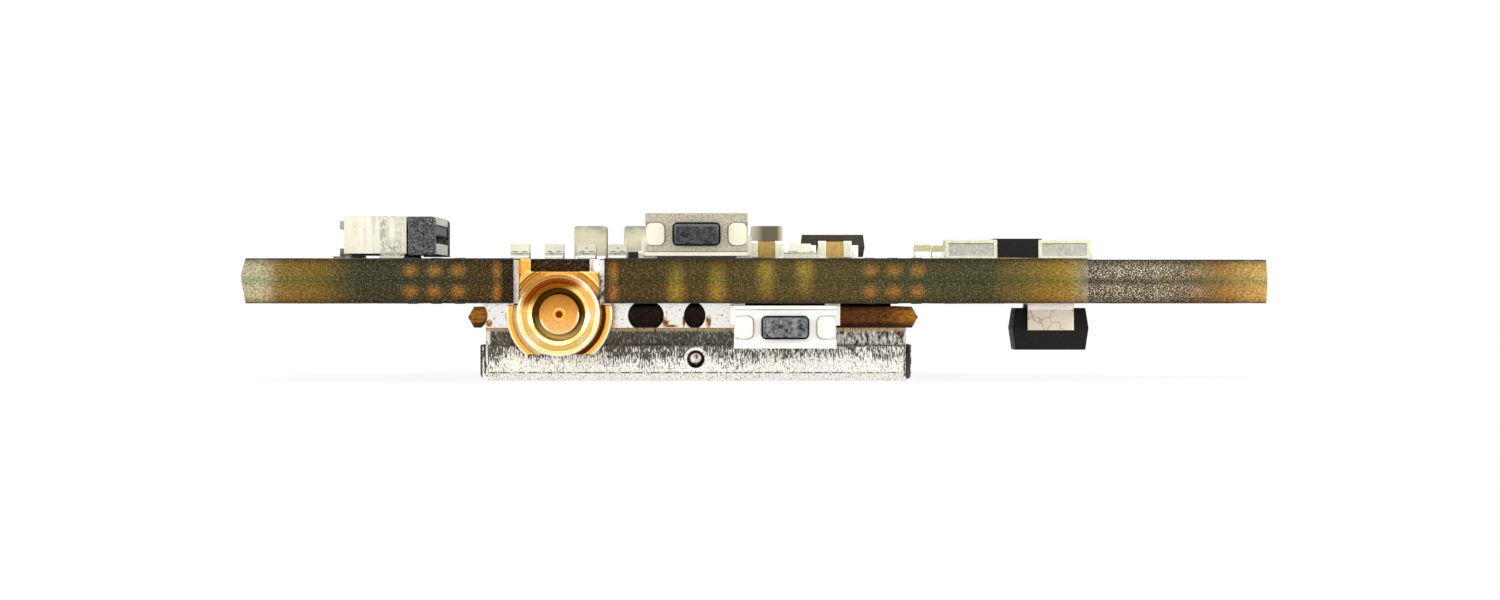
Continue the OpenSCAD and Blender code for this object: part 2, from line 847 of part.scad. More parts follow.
// A joint seen from the front: hollow on both sides, with arcs that run from one board to the other
module joint_section(waist) {
    joint_h = -module_bottom;
    full_w = waist + 2 * joint_flare;
    arc_r = (joint_h * joint_h / 4 + joint_flare * joint_flare) / (2 * joint_flare);
    difference() {
        translate([-full_w / 2, module_bottom])
            square([full_w, joint_h]);
        for (side = [-1, 1])
            translate([side * (waist / 2 + arc_r), module_bottom / 2])
                circle(arc_r);
    }
}

// Each joint wets both boards widely, is drawn in between them and fills its half hole
module module_solder_joints() {
    color([0.74, 0.73, 0.71])
        difference() {
            for (i = [0 : len(joint_x) - 1], back = [0, 1])
                translate([joint_x[i], module_front + back * module_d, 0])
                    mirror([0, back, 0])
                        translate([0, -joint_out, 0])
                            along_y(joint_out + half_hole_d / 2)
                                joint_section(joint_waist[i]);
            module_plate();
        }
}

// A tray's outline with two bent lower corners, standing on the origin
module tray_outline(w, h, r) {
    translate([-w / 2, r])
        square([w, h - r]);
    translate([-w / 2 + r, 0])
        square([w - 2 * r, h]);
    for (side = [-1, 1])
        translate([side * (w / 2 - r), r])
            circle(r);
}

module tray_section(w) {
    difference() {
        tray_outline(w, lid_h, bend_r);
        translate([0, sheet_t])
            tray_outline(w - 2 * sheet_t, lid_h, bend_r - sheet_t);
    }
}

// Turns a shape to each of the shield's four sides, its foot on the lid's inner or outer face
module on_flaps(inset) {
    for (turn = [0, 1, 2, 3])
        translate([lid_x, module_y, shield_bottom + dimple_h])
            rotate([0, 0, 90 * turn])
                translate([0, -(turn % 2 == 0 ? lid_d : lid_w) / 2 + inset, 0])
                    rotate([-90, 0, 0])
                        children();
}

// One sheet folded up on four sides: two crossing trays leave the corner slits open
module shield_lid() {
    corner = sheet_t + lid_slit;
    color([0.70, 0.69, 0.66]) {
        difference() {
            translate([lid_x, module_y, shield_bottom]) {
                translate([-lid_w / 2 + corner, 0, 0])
                    along_x(lid_w - 2 * corner)
                        tray_section(lid_d);
                translate([0, -lid_d / 2 + corner, 0])
                    along_y(lid_d - 2 * corner)
                        tray_section(lid_w);
            }
            on_flaps(0)
                ball_cap(dimple_d / 2, dimple_depth);
        }
        on_flaps(sheet_t - seat)
            ball_cap(dimple_d / 2, dimple_depth + seat);
    }
}

module shield_frame() {
    inner_w = frame_w - 2 * sheet_t;
    inner_d = frame_d - 2 * sheet_t;
    color([0.33, 0.29, 0.25])
        difference() {
            translate([lid_x, module_y, module_bottom - frame_h])
                difference() {
                    span([-frame_w / 2, -frame_d / 2, 0], [frame_w / 2, frame_d / 2, frame_h]);
                    difference() {
                        span([-inner_w / 2, -inner_d / 2, -cut], [inner_w / 2, inner_d / 2, frame_h + cut]);
                        span([-inner_w, -bridge_w / 2, 0], [inner_w, bridge_w / 2, sheet_t]);
                    }
                }
            on_flaps(sheet_t)
                cylinder(d = dimple_d + 2 * shield_fit, h = 3 * sheet_t);
        }
}

// Hangs a part from the module's underside, at a place measured from the module's middle
module under_module(x, y, h) {
    translate([module_x + x, module_y + y, module_bottom - h])
        children();
}

module transmitter_chip() {
    color([0.10, 0.10, 0.11])
        under_module(-module_w / 6, -module_d / 6, shielded_chip_h)
            flat_chip(transmitter_w, shielded_chip_h);
}

module amplifier_chip() {
    color([0.12, 0.12, 0.13])
        under_module(module_w / 5, -module_d / 6, shielded_chip_h)
            flat_chip(amplifier_w, shielded_chip_h);
}

module crystal() {
    color([0.75, 0.72, 0.62])
        under_module(-module_w / 6, module_d / 6, crystal_h)
            linear_extrude(crystal_h)
                round_rect(crystal_l, crystal_w, crystal_w / 10);
}

module module_capacitors() {
    color([0.55, 0.42, 0.28])
        for (i = [0 : shielded_row - 1])
            under_module(module_w / 5 + (i - shielded_row / 2) * shielded_pitch, module_d / 5, resistor_w)
                translate([-resistor_w / 2, -resistor_l / 2, 0])
                    cube([resistor_w, resistor_l, resistor_w]);
}

// Ribbon connector

// Puts a shape drawn from the housing's left front foot on the board
module on_ribbon() {
    translate([left + ribbon_inset, front + ribbon_setback, board_t])
        children();
}

// A contact's riser, tail and two beams, seen from the end of the row
module ribbon_contact_section() {
    beam_l = ribbon_w - contact_riser;
    translate([-contact_tail_l, 0])
        square([contact_tail_l + contact_riser, contact_leg]);
    square([contact_riser, contact_top]);
    for (low = [contact_leg, contact_top - stub_h])
        translate([-stub_out, low])
            square([stub_out, stub_h]);
    translate([0, contact_low - contact_leg])
        square([beam_l, contact_leg]);
    translate([0, contact_top - contact_leg])
        square([beam_l, contact_leg]);
}

module ribbon_slot_section() {
    translate([-cut, 0])
        square([contact_riser + cut + seat, contact_top + seat]);
    translate([0, contact_low - contact_leg - seat])
        square([ribbon_w + cut, contact_top - contact_low + contact_leg + 2 * seat]);
}

module at_each_way(thickness) {
    for (i = [0 : ribbon_ways - 1])
        translate([0, ribbon_margin + i * ribbon_pitch - thickness / 2, 0])
            along_y(thickness)
                children();
}

module ribbon_contacts() {
    color([0.80, 0.74, 0.58])
        on_ribbon()
            at_each_way(contact_t)
                ribbon_contact_section();
}

module ribbon_nail() {
    nail_x = ribbon_w - nail_w - nail_t / 2;
    span([nail_x, 0, 0], [nail_x + nail_w, nail_t, nail_h]);
    span([nail_x, -2 * nail_t, 0], [nail_x + nail_w, 0, nail_t]);
}

module both_ends() {
    children();
    translate([0, ribbon_l, 0])
        mirror([0, 1, 0])
            children();
}

module ribbon_nails() {
    color([0.72, 0.71, 0.66])
        on_ribbon()
            both_ends()
                ribbon_nail();
}

// The guides on the lock's ears, and with some room the slots that they run in
module lock_guides(room) {
    guide_l = lock_travel + guide_hold;
    both_ends()
        span([ribbon_w - guide_l - room, (ear_l - guide_w) / 2 - room, bar_low - guide_h - room],
            [lock_x + seat, (ear_l + guide_w) / 2 + room, bar_low + room]);
}

// Between the lock's ears the housing reaches out over and under the lock's bar
module ribbon_housing() {
    mouth_l = (ribbon_ways - 1) * ribbon_pitch + 2 * ribbon_pitch;
    mouth_low = contact_low + contact_leg;
    mouth_top = contact_top - 2 * contact_leg;
    lip_y = ear_l + lock_fit;
    lip_x = lock_end - roof_back;
    color([0.90, 0.85, 0.70])
        on_ribbon() {
            difference() {
                span([0, 0, ribbon_clear], [ribbon_w, ribbon_l, ribbon_h]);
                at_each_way(contact_t + 2 * seat)
                    ribbon_slot_section();
                span([ribbon_w / 3, (ribbon_l - mouth_l) / 2, mouth_low],
                    [ribbon_w + cut, (ribbon_l + mouth_l) / 2, mouth_top]);
                both_ends()
                    ribbon_nail();
                lock_guides(lock_fit);
            }
            span([ribbon_w - seat, lip_y, roof_low], [lip_x, ribbon_l - lip_y, ribbon_h]);
            span([ribbon_w - seat, lip_y, ribbon_clear], [lip_x, ribbon_l - lip_y, mouth_low - seat]);
        }
}

// An ear of the lock, seen from the end of the row, with a soft outer corner
module lock_ear_section() {
    translate([lock_x, lock_clear])
        square([lock_w, lock_top - ear_r - lock_clear]);
    translate([lock_x, lock_clear])
        square([lock_w - ear_r, lock_top - lock_clear]);
    translate([lock_end - ear_r, lock_top - ear_r])
        circle(ear_r);
}

// Two ears to pull on, the bar between them, the tongue that presses on the cable, and the guides
module ribbon_lock() {
    tongue_y = ribbon_margin - ribbon_pitch + lock_fit;
    color([0.11, 0.13, 0.16])
        on_ribbon() {
            both_ends()
                along_y(ear_l)
                    lock_ear_section();
            span([lock_x, 0, bar_low], [lock_end - bar_back, ribbon_l, bar_top]);
            span([ribbon_w - tongue_l, tongue_y, bar_low],
                [lock_x + seat, ribbon_l - tongue_y, bar_low + tongue_t]);
            lock_guides(0);
        }
}

// Lamps

// A lamp along X on z = 0: the base has a plated half hole in each end, the lens slopes at both ends
module lamp_base_shape() {
    half_hole_r = lamp_w / 5;
    difference() {
        span([-lamp_l / 2, -lamp_w / 2, 0], [lamp_l / 2, lamp_w / 2, lamp_base_t]);
        for (side = [-1, 1])
            translate([side * lamp_l / 2, 0, -cut])
                cylinder(r = half_hole_r, h = lamp_base_t + 2 * cut);
    }
}

module lamp_lens_shape() {
    translate([0, -lamp_w / 2, 0])
        along_y(lamp_w)
            polygon([
                [-lens_l / 2, lamp_base_t], [lens_l / 2, lamp_base_t],
                [lens_l / 2 - lens_slope, lamp_h], [-lens_l / 2 + lens_slope, lamp_h]
            ]);
}

module in_lamp_row(i) {
    translate([lamp_x[i], front + lamp_setback + lamp_l / 2, board_t])
        rotate([0, 0, 90])
            children();
}

module lamp_base(i) {
    color([0.85, 0.80, 0.62])
        in_lamp_row(i)
            lamp_base_shape();
}

module lamp_lens(i) {
    color([0.90, 0.90, 0.82])
        in_lamp_row(i)
            lamp_lens_shape();
}

// The lamp that shows its side stands beside the upper button
module beside_button() {
    translate([side_lamp_x, front + side_lamp_setback + lamp_w / 2, board_t])
        children();
}

module side_lamp_base() {
    color([0.80, 0.74, 0.52])
        beside_button()
            lamp_base_shape();
}

module side_lamp_lens() {
    color([0.95, 0.95, 0.92])
        beside_button()
            lamp_lens_shape();
}

// Chip capacitors and resistor

// The row of two capacitors behind that lamp
module in_side_row(i) {
    translate([small_x[i], front + row_setback + small_w / 2, board_t])
        children();
}

module small_capacitor(i) {
    color([0.60, 0.40, 0.22])
        in_side_row(i)
            chip_body(small_l, small_w, small_h);
}

module small_capacitor_ends() {
    color([0.82, 0.79, 0.70])
        for (i = [0, 1])
            in_side_row(i)
                chip_ends(small_l, small_w, small_h, small_band);
}

module in_right_pair(i) {
    translate([right_small_x[i], front + right_small_setback[i] + small_l / 2, board_t])
        rotate([0, 0, 90])
            children();
}

module right_capacitor(i) {
    color([0.60, 0.40, 0.22])
        in_right_pair(i)
            chip_body(small_l, small_w, small_h);
}

module right_capacitor_ends() {
    color([0.82, 0.79, 0.70])
        for (i = [0, 1])
            in_right_pair(i)
                chip_ends(small_l, small_w, small_h, small_band);
}

module in_large_row(i) {
    translate([large_x[i], front + large_setback + large_l / 2, board_t])
        rotate([0, 0, 90])
            children();
}

module large_capacitor(i) {
    color([0.58, 0.42, 0.24])
        in_large_row(i)
            chip_body(large_l, large_w, large_h);
}

module large_capacitor_ends() {
    color([0.82, 0.78, 0.66])
        for (i = [0 : len(large_x) - 1])
            in_large_row(i)
                chip_ends(large_l, large_w, large_h, large_band);
}

module at_resistor() {
    translate([resistor_x, front + lamp_setback + lamp_l + resistor_w, board_t])
        children();
}

module resistor_body() {
    color([0.09, 0.09, 0.09])
        at_resistor()
            chip_body(resistor_l, resistor_w, resistor_h);
}

module resistor_ends() {
    color([0.82, 0.80, 0.74])
        at_resistor()
            chip_ends(resistor_l, resistor_w, resistor_h, resistor_band);
}

// Regulator, control chip and inductor

module at_regulator() {
    translate([regulator_x, front + regulator_setback + regulator_w / 2, board_t])
        children();
}

module regulator_body() {
    body_h = regulator_h - standoff;
    draft = body_h / 14;
    color([0.08, 0.08, 0.09])
        at_regulator()
            translate([0, 0, standoff])
                moulded_body(regulator_l, regulator_w, body_h, regulator_h / 2 - standoff, draft);
}

// A bent lead: out of the body at its parting line, down, and out along the board
module lead_section() {
    out = lead_reach - lead_foot;
    high = regulator_h / 2 + lead_t / 2;
    polygon([
        [0, high], [out, high], [out + lead_t, lead_t], [lead_reach, lead_t],
        [lead_reach, 0], [out, 0], [out - lead_t, high - lead_t], [0, high - lead_t]
    ]);
}

module regulator_leads() {
    color([0.78, 0.76, 0.72])
        at_regulator()
            difference() {
                for (turn = [0, 180], i = [-1, 0, 1])
                    rotate([0, 0, turn])
                        translate([i * regulator_pitch - lead_w / 2, regulator_w / 2, 0])
                            along_x(lead_w)
                                lead_section();
                translate([-regulator_l / 2, -regulator_w / 2, 0])
                    cube([regulator_l, regulator_w, regulator_h]);
            }
}

module control_chip() {
    color([0.09, 0.09, 0.10])
        translate([upper_button_x, front + control_setback + control_w / 2, board_t])
            flat_chip(control_w, control_h);
}

module at_inductor() {
    translate([upper_button_x, front + inductor_setback + inductor_w / 2, board_t])
        children();
}

module inductor_body() {
    color([0.20, 0.21, 0.23])
        at_inductor()
            translate([0, 0, inductor_foot_t])
                linear_extrude(inductor_h - inductor_foot_t)
                    round_rect(inductor_w, inductor_w, inductor_w / 12);
}

module inductor_ends() {
    pad_w = inductor_w * inductor_foot_share;
    color([0.76, 0.75, 0.72])
        at_inductor()
            for (side = [-1, 1])
                translate([side * (inductor_w - inductor_foot_l) / 2, 0, 0])
                    translate([-inductor_foot_l / 2, -pad_w / 2, 0])
                        cube([inductor_foot_l, pad_w, inductor_foot_t]);
}

// Shunt and surge diode

module at_shunt() {
    translate([right - shunt_inset + shunt_l / 2, front + shunt_setback, board_t])
        children();
}

// The black coating fills the middle and laps over both terminals
module shunt_body() {
    half_l = shunt_mid_l / 2;
    low = shunt_lap_t;
    lap_low = shunt_h - shunt_lap_t;
    color([0.09, 0.085, 0.08])
        at_shunt()
            along_y(shunt_w)
                polygon([
                    [-half_l, low], [half_l, low], [half_l, lap_low], [half_l + shunt_lap, lap_low],
                    [half_l + shunt_lap, shunt_h], [-half_l - shunt_lap, shunt_h],
                    [-half_l - shunt_lap, lap_low], [-half_l, lap_low]
                ]);
}

module shunt_terminals() {
    terminal_l = (shunt_l - shunt_mid_l) / 2;
    terminal_h = shunt_h - shunt_lap_t;
    sunk_l = terminal_l - 2 * terminal_rim;
    sunk_h = terminal_h - 2 * terminal_rim;
    color([0.80, 0.77, 0.70])
        at_shunt()
            for (side = [-1, 1])
                translate([side * (shunt_l - terminal_l) / 2, 0, terminal_h / 2])
                    difference() {
                        along_y(shunt_w)
                            round_rect(terminal_l, terminal_h, shunt_lap_t);
                        for (y = [terminal_sink - cut, shunt_w - terminal_sink])
                            translate([0, y, 0])
                                along_y(cut)
                                    round_rect(sunk_l, sunk_h, shunt_lap_t);
                    }
}

// Hangs the diode from the underside, turned so that its height runs down
module at_diode() {
    translate([right - diode_inset + diode_w / 2, front + diode_setback + diode_l / 2, 0])
        mirror([0, 0, 1])
            children();
}

module diode_body() {
    gap = diode_lead_t + seat;
    color([0.07, 0.07, 0.075])
        at_diode()
            translate([0, 0, gap])
                moulded_body(diode_w, diode_l, diode_h - gap, diode_waist - gap, diode_draft);
}

// A lead leaves the body at its waist, turns to the board and folds in under the body
module diode_lead_section() {
    outer = diode_l / 2 + diode_lead_t + seat;
    inner = diode_l / 2 + seat;
    lead_top = diode_waist + diode_lead_t / 2;
    foot_l = diode_l / 4;
    translate([inner, 0])
        square([outer - inner, lead_top]);
    translate([outer - foot_l, 0])
        square([foot_l, diode_lead_t]);
    translate([diode_l / 2 - diode_draft, lead_top - diode_lead_t])
        square([outer - diode_l / 2 + diode_draft, diode_lead_t]);
}

module diode_leads() {
    color([0.70, 0.67, 0.66])
        difference() {
            at_diode()
                for (turn = [0, 180])
                    rotate([0, 0, turn])
                        translate([-diode_lead_w / 2, 0, 0])
                            along_x(diode_lead_w)
                                diode_lead_section();
            diode_body();
        }
}

main_board();
jack_body();
jack_insulator();
jack_contact();
jack_solder();
button_base("upper");  // upper_button_base
button_cover("upper");  // upper_button_cover
button_push("upper");  // upper_button_push
button_dome("upper");  // upper_button_dome
button_terminals("upper");  // upper_button_terminals
button_base("lower");  // lower_button_base
button_cover("lower");  // lower_button_cover
button_push("lower");  // lower_button_push
button_dome("lower");  // lower_button_dome
button_terminals("lower");  // lower_button_terminals
module_board();
module_solder_joints();
shield_frame();
shield_lid();
transmitter_chip();
amplifier_chip();
crystal();
module_capacitors();
ribbon_housing();
ribbon_lock();
ribbon_contacts();
ribbon_nails();
lamp_base(0);  // lamp_1_base
lamp_lens(0);  // lamp_1_lens
lamp_base(1);  // lamp_2_base
lamp_lens(1);  // lamp_2_lens
lamp_base(2);  // lamp_3_base
lamp_lens(2);  // lamp_3_lens
lamp_base(3);  // lamp_4_base
lamp_lens(3);  // lamp_4_lens
side_lamp_base();
side_lamp_lens();
small_capacitor(0);  // small_capacitor_1
small_capacitor(1);  // small_capacitor_2
small_capacitor_ends();
right_capacitor(0);  // right_capacitor_1
right_capacitor(1);  // right_capacitor_2
right_capacitor_ends();
large_capacitor(0);  // large_capacitor_1
large_capacitor(1);  // large_capacitor_2
large_capacitor(2);  // large_capacitor_3
large_capacitor_ends();
resistor_body();
resistor_ends();
regulator_body();
regulator_leads();
control_chip();
inductor_body();
inductor_ends();
shunt_body();
shunt_terminals();
diode_body();
diode_leads();
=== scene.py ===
import json
import math

import bmesh
import bpy
from mathutils import Matrix, Vector


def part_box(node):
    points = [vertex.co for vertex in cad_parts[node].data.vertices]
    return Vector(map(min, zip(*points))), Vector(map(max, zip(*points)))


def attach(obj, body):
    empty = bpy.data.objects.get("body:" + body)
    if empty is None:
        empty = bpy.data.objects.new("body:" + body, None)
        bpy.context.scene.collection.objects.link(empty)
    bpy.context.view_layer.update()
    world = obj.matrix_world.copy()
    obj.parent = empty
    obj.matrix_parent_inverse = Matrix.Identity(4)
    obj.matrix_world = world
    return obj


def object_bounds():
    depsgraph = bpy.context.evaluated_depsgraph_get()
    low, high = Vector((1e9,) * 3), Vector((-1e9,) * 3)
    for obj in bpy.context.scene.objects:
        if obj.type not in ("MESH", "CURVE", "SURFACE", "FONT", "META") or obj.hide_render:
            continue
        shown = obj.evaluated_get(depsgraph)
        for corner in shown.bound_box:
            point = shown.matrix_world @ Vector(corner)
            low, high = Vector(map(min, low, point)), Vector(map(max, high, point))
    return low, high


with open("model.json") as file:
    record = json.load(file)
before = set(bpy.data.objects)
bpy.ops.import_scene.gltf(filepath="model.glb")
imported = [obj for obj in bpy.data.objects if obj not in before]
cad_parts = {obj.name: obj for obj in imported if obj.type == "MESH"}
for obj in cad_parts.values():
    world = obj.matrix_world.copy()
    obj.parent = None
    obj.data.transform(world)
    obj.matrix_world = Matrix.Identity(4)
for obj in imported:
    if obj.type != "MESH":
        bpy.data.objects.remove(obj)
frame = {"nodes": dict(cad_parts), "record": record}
cad_low, cad_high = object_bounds()
nodes = frame["nodes"]
scene = bpy.context.scene
scene.view_settings.view_transform = "Standard"


# The picture is taken level with the lower half of the board, so that the board shows edge-on.
# The camera stands 250 mm before the front edge, a little right of the hole pattern's centre.
camera_data = bpy.data.cameras.new("front_camera")
camera_data.sensor_fit = "HORIZONTAL"
camera_data.sensor_width = 36
camera_data.lens = 135.6
camera_data.clip_start = 0.01
camera = bpy.data.objects.new("front_camera", camera_data)
front_edge, distance, aside, eye_level = -0.018, 0.25, 0.0038, 0.00015
camera.location = (aside, front_edge - distance, eye_level)
camera.rotation_euler = (math.radians(90), 0, 0)
scene.collection.objects.link(camera)
scene.camera = camera


# The light is a white tent: three softboxes before the part, one above it, and an even white room.
# The room is dark only low before the part, where the tent is open, so that metal keeps its contrast.
def softbox(name, place, width, height, power):
    """A flat lamp of soft light, turned to the part."""
    lamp_data = bpy.data.lights.new(name, "AREA")
    lamp_data.shape = "RECTANGLE"
    lamp_data.size = width
    lamp_data.size_y = height
    lamp_data.energy = power
    lamp = bpy.data.objects.new(name, lamp_data)
    lamp.location = place
    lamp.rotation_euler = (-Vector(place)).to_track_quat("-Z", "Y").to_euler()
    scene.collection.objects.link(lamp)


softbox("left_softbox", (-0.42, -0.4, 0.08), 0.42, 0.15, 1.3)
softbox("right_softbox", (0.44, -0.38, 0.08), 0.42, 0.15, 1.1)
softbox("front_softbox", (0.0, -0.46, 0.24), 0.24, 0.24, 0.45)
softbox("top_softbox", (0.0, 0.05, 0.55), 0.4, 0.4, 1.0)


def add(kind, inputs=(), **settings):
    """A shader node in the tree at hand, with its settings, and its inputs linked or set."""
    made = tree.nodes.new("ShaderNode" + kind)
    for name, value in settings.items():
        setattr(made, name, value)
    for key, value in dict(inputs).items():
        if isinstance(value, bpy.types.NodeSocket):
            tree.links.new(value, made.inputs[key])
        elif made.inputs[key].type == "RGBA":
            made.inputs[key].default_value = (*value[:3], 1)
        else:
            made.inputs[key].default_value = value
    return made


def calc(operation, *values):
    """The result of one sum on values or sockets."""
    return add("Math", dict(enumerate(values)), operation=operation).outputs[0]


def both(*masks):
    """The product of masks: where all of them hold."""
    product = masks[0]
    for mask in masks[1:]:
        product = calc("MULTIPLY", product, mask)
    return product


def spread(value, low, high, bottom=0.0, top=1.0, soft=False):
    """A value moved from the span low to high to the span bottom to top, and held there."""
    return add("MapRange", {0: value, 1: low, 2: high, 3: bottom, 4: top},
               interpolation_type="SMOOTHSTEP" if soft else "LINEAR").outputs[0]


room = bpy.data.worlds.new("white_tent")
room.use_nodes = True
scene.world = room
tree = room.node_tree
tree.nodes.clear()
ray = add("LightPath").outputs
way = add("SeparateXYZ", {0: add("TexCoord").outputs["Generated"]}).outputs
opening = spread(way["Z"], -0.5, -0.02, 0.06, 0.95, soft=True)
before = spread(way["Y"], -0.55, 0.0, 1.0, 0.0, soft=True)
tent = add("Mix", {0: before, 2: 1.0, 3: opening}, data_type="FLOAT").outputs[0]
mirrored = calc("MAXIMUM", ray["Is Glossy Ray"], ray["Is Transmission Ray"])
level = add("Mix", {0: mirrored, 2: 0.5, 3: tent}, data_type="FLOAT").outputs[0]
level = add("Mix", {0: ray["Is Camera Ray"], 2: level, 3: 1.0}, data_type="FLOAT").outputs[0]
white = add("Background", {"Color": (1, 1, 1), "Strength": level})
tree.links.new(white.outputs[0], add("OutputWorld").inputs["Surface"])


# The floor is a white disc, lit from below as a light table is, that the shield's lid stands on. The eye
# and mirrors see it nearly white, with the part's shadow still on it. From below it can be seen through.
def begin():
    """Leaves every object unselected, so that the next primitive is worked on alone."""
    bpy.ops.object.select_all(action="DESELECT")


begin()
floor_radius, floor_back, floor_gap = 0.3, 0.2, 0.00002
bpy.ops.mesh.primitive_circle_add(vertices=128, radius=floor_radius, fill_type="NGON", location=(0, 0, 0))
floor = bpy.context.object
floor.name = "floor"
floor.data.transform(Matrix.Translation((0, floor_back, cad_low.z - floor_gap)))
paper = bpy.data.materials.new("white_paper")
paper.use_nodes = True
tree = paper.node_tree
tree.nodes.clear()
ray = add("LightPath").outputs
seen = calc("MAXIMUM", ray["Is Camera Ray"],
            calc("MAXIMUM", ray["Is Glossy Ray"], ray["Is Transmission Ray"]))
glow = add("Emission", {"Color": (1, 1, 1), "Strength": 0.92})
faint = add("BsdfDiffuse", {"Color": (0.12, 0.12, 0.12)})
dim_glow = add("Emission", {"Color": (1, 1, 1), "Strength": 0.6})
plain = add("BsdfDiffuse", {"Color": (0.35, 0.35, 0.35)})
lit = add("AddShader", {0: dim_glow.outputs[0], 1: plain.outputs[0]})
shown = add("AddShader", {0: glow.outputs[0], 1: faint.outputs[0]})
cover = add("MixShader", {0: seen, 1: lit.outputs[0], 2: shown.outputs[0]})
below = add("NewGeometry").outputs["Backfacing"]
cover = add("MixShader", {0: below, 1: cover.outputs[0], 2: add("BsdfTransparent").outputs[0]})
tree.links.new(cover.outputs[0], add("OutputMaterial").inputs["Surface"])
floor.data.materials.append(paper)


# The main board is glass-epoxy laminate with a black mask on both faces and a milled, bare edge.
# The edge is a little see-through, and the glow where the copper planes inside stop short of it is painted.
def finish(name, **plain_values):
    """A new material, which the next calls work on, with the values that are the same all over it."""
    global tree, shader
    made = bpy.data.materials.new(name)
    made.use_nodes = True
    tree = made.node_tree
    shader = tree.nodes["Principled BSDF"]
    for socket, value in plain_values.items():
        shader.inputs[socket.replace("_", " ")].default_value = value
    return made


def dress(material, *names):
    """Gives solids their finish."""
    for name in names:
        for place in nodes[name].material_slots:
            place.material = material


def band(value, outer_1, inner_1, outer_2, inner_2):
    """A mask that is full between the two inner values and gone beyond the two outer ones."""
    return both(spread(value, outer_1, inner_1), spread(value, outer_2, inner_2))


def tint(amount, low, high, mode="MIX"):
    """Two colours mixed by an amount that changes over the surface."""
    return add("Mix", {0: amount, 6: low, 7: high}, data_type="RGBA", blend_type=mode).outputs[2]


def ramp(value, *stops):
    """The colour that belongs to a value, between stops of place and colour."""
    made = add("ValToRGB", {0: value})
    made.color_ramp.elements[0].position = stops[0][0]
    made.color_ramp.elements[1].position = stops[-1][0]
    for place, colour in stops[1:-1]:
        made.color_ramp.elements.new(place)
    for element, (place, colour) in zip(made.color_ramp.elements, stops):
        element.color = (*colour, 1)
    return made.outputs[0]


def millimetres():
    """The place on the part in millimetres."""
    metres = add("TexCoord").outputs["Object"]
    return add("VectorMath", {0: metres, 1: (1000, 1000, 1000)}, operation="MULTIPLY").outputs[0]


def axes():
    """That place by its axes."""
    return add("SeparateXYZ", {0: millimetres()}).outputs


def shared_effect(name, values, results):
    """A node group that several finishes use, which the next calls work on, its inputs and outputs."""
    global tree
    tree = bpy.data.node_groups.new(name, "ShaderNodeTree")
    for label, kind, value in values:
        tree.interface.new_socket(label, in_out="INPUT",
                                  socket_type="NodeSocket" + kind).default_value = value
    for label, kind in results:
        tree.interface.new_socket(label, in_out="OUTPUT", socket_type="NodeSocket" + kind)
    return tree, tree.nodes.new("NodeGroupInput").outputs, tree.nodes.new("NodeGroupOutput").inputs


def use(group, **values):
    """A shared effect placed in a finish, with its own values."""
    made = tree.nodes.new("ShaderNodeGroup")
    made.node_tree = group
    for label, value in values.items():
        socket = made.inputs[label.replace("_", " ")]
        if isinstance(value, bpy.types.NodeSocket):
            tree.links.new(value, socket)
        else:
            socket.default_value = value
    return made.outputs


# Grain, used by nearly every finish: cells per millimetre along each axis, and sparse specks.
grain, taken, given = shared_effect(
    "grain", [("Cells", "Vector", (5, 5, 5)), ("Amount", "Float", 0.35), ("Seed", "Float", 0.0)],
    [("Tone", "Float"), ("Specks", "Float"), ("Blotches", "Float")])
cells = add("VectorMath", {0: millimetres(), 1: taken["Cells"]}, operation="MULTIPLY").outputs[0]
cells = add("VectorMath", {0: cells, 1: taken["Seed"]}, operation="ADD").outputs[0]
fine = add("TexNoise", {"Vector": cells, "Scale": 1, "Detail": 3, "Roughness": 0.65}).outputs[0]
sparse = add("TexNoise", {"Vector": cells, "Scale": 1.7, "Detail": 2, "Roughness": 0.5}).outputs[0]
wide = add("TexNoise", {"Vector": cells, "Scale": 0.13, "Detail": 4, "Roughness": 0.6}).outputs[0]
cut = calc("SUBTRACT", 0.8, calc("MULTIPLY", taken["Amount"], 0.4))
tree.links.new(spread(fine, 0.3, 0.7), given["Tone"])
tree.links.new(spread(sparse, cut, calc("ADD", cut, 0.08)), given["Specks"])
tree.links.new(spread(wide, 0.35, 0.65), given["Blotches"])


def length(side, rise):
    """The distance of a point that lies that far aside and that far up."""
    return calc("SQRT", calc("ADD", calc("POWER", side, 2), calc("POWER", rise, 2)))


# Glows, used for painted light that comes through an edge, for painted gleams and shade, and for stains: how
# near a middle is.
glow_spot, taken, given = shared_effect(
    "glow_spot", [("Across", "Float", 0.0), ("Height", "Float", 0.0), ("Middle", "Float", 0.0),
                  ("Level", "Float", 1.0), ("Half width", "Float", 0.4), ("Half height", "Float", 0.4)],
    [("Glow", "Float")])
side = calc("DIVIDE", calc("SUBTRACT", taken["Across"], taken["Middle"]), taken["Half width"])
rise = calc("DIVIDE", calc("SUBTRACT", taken["Height"], taken["Level"]), taken["Half height"])
tree.links.new(spread(length(side, rise), 0.0, 1.45, 1.0, 0.0, soft=True), given["Glow"])


def glows(*spots, across=None, height=None):
    """The strongest of several glows, each given by its middle, level, half width and half height."""
    across = x if across is None else across
    height = z if height is None else height
    strongest = None
    for middle, level, half_width, half_height in spots:
        lit = use(glow_spot, Across=across, Height=height, Middle=middle, Level=level, Half_width=half_width,
                  Half_height=half_height)["Glow"]
        strongest = lit if strongest is None else calc("MAXIMUM", strongest, lit)
    return strongest


def grained(seed, amount, *cells):
    """The shared grain, by its seed, amount of specks and cells per millimetre along each axis."""
    return use(grain, Cells=cells, Amount=amount, Seed=seed)


def relief(height, depth, soft=None):
    """Fine relief of that depth, in micrometres, on the shader's normal or on a broken edge's."""
    made = add("Bump", {"Strength": 1.0, "Distance": depth / 1e6, "Height": height})
    if soft is not None:
        tree.links.new(soft["Normal"], made.inputs["Normal"])
    tree.links.new(made.outputs[0], shader.inputs["Normal"])


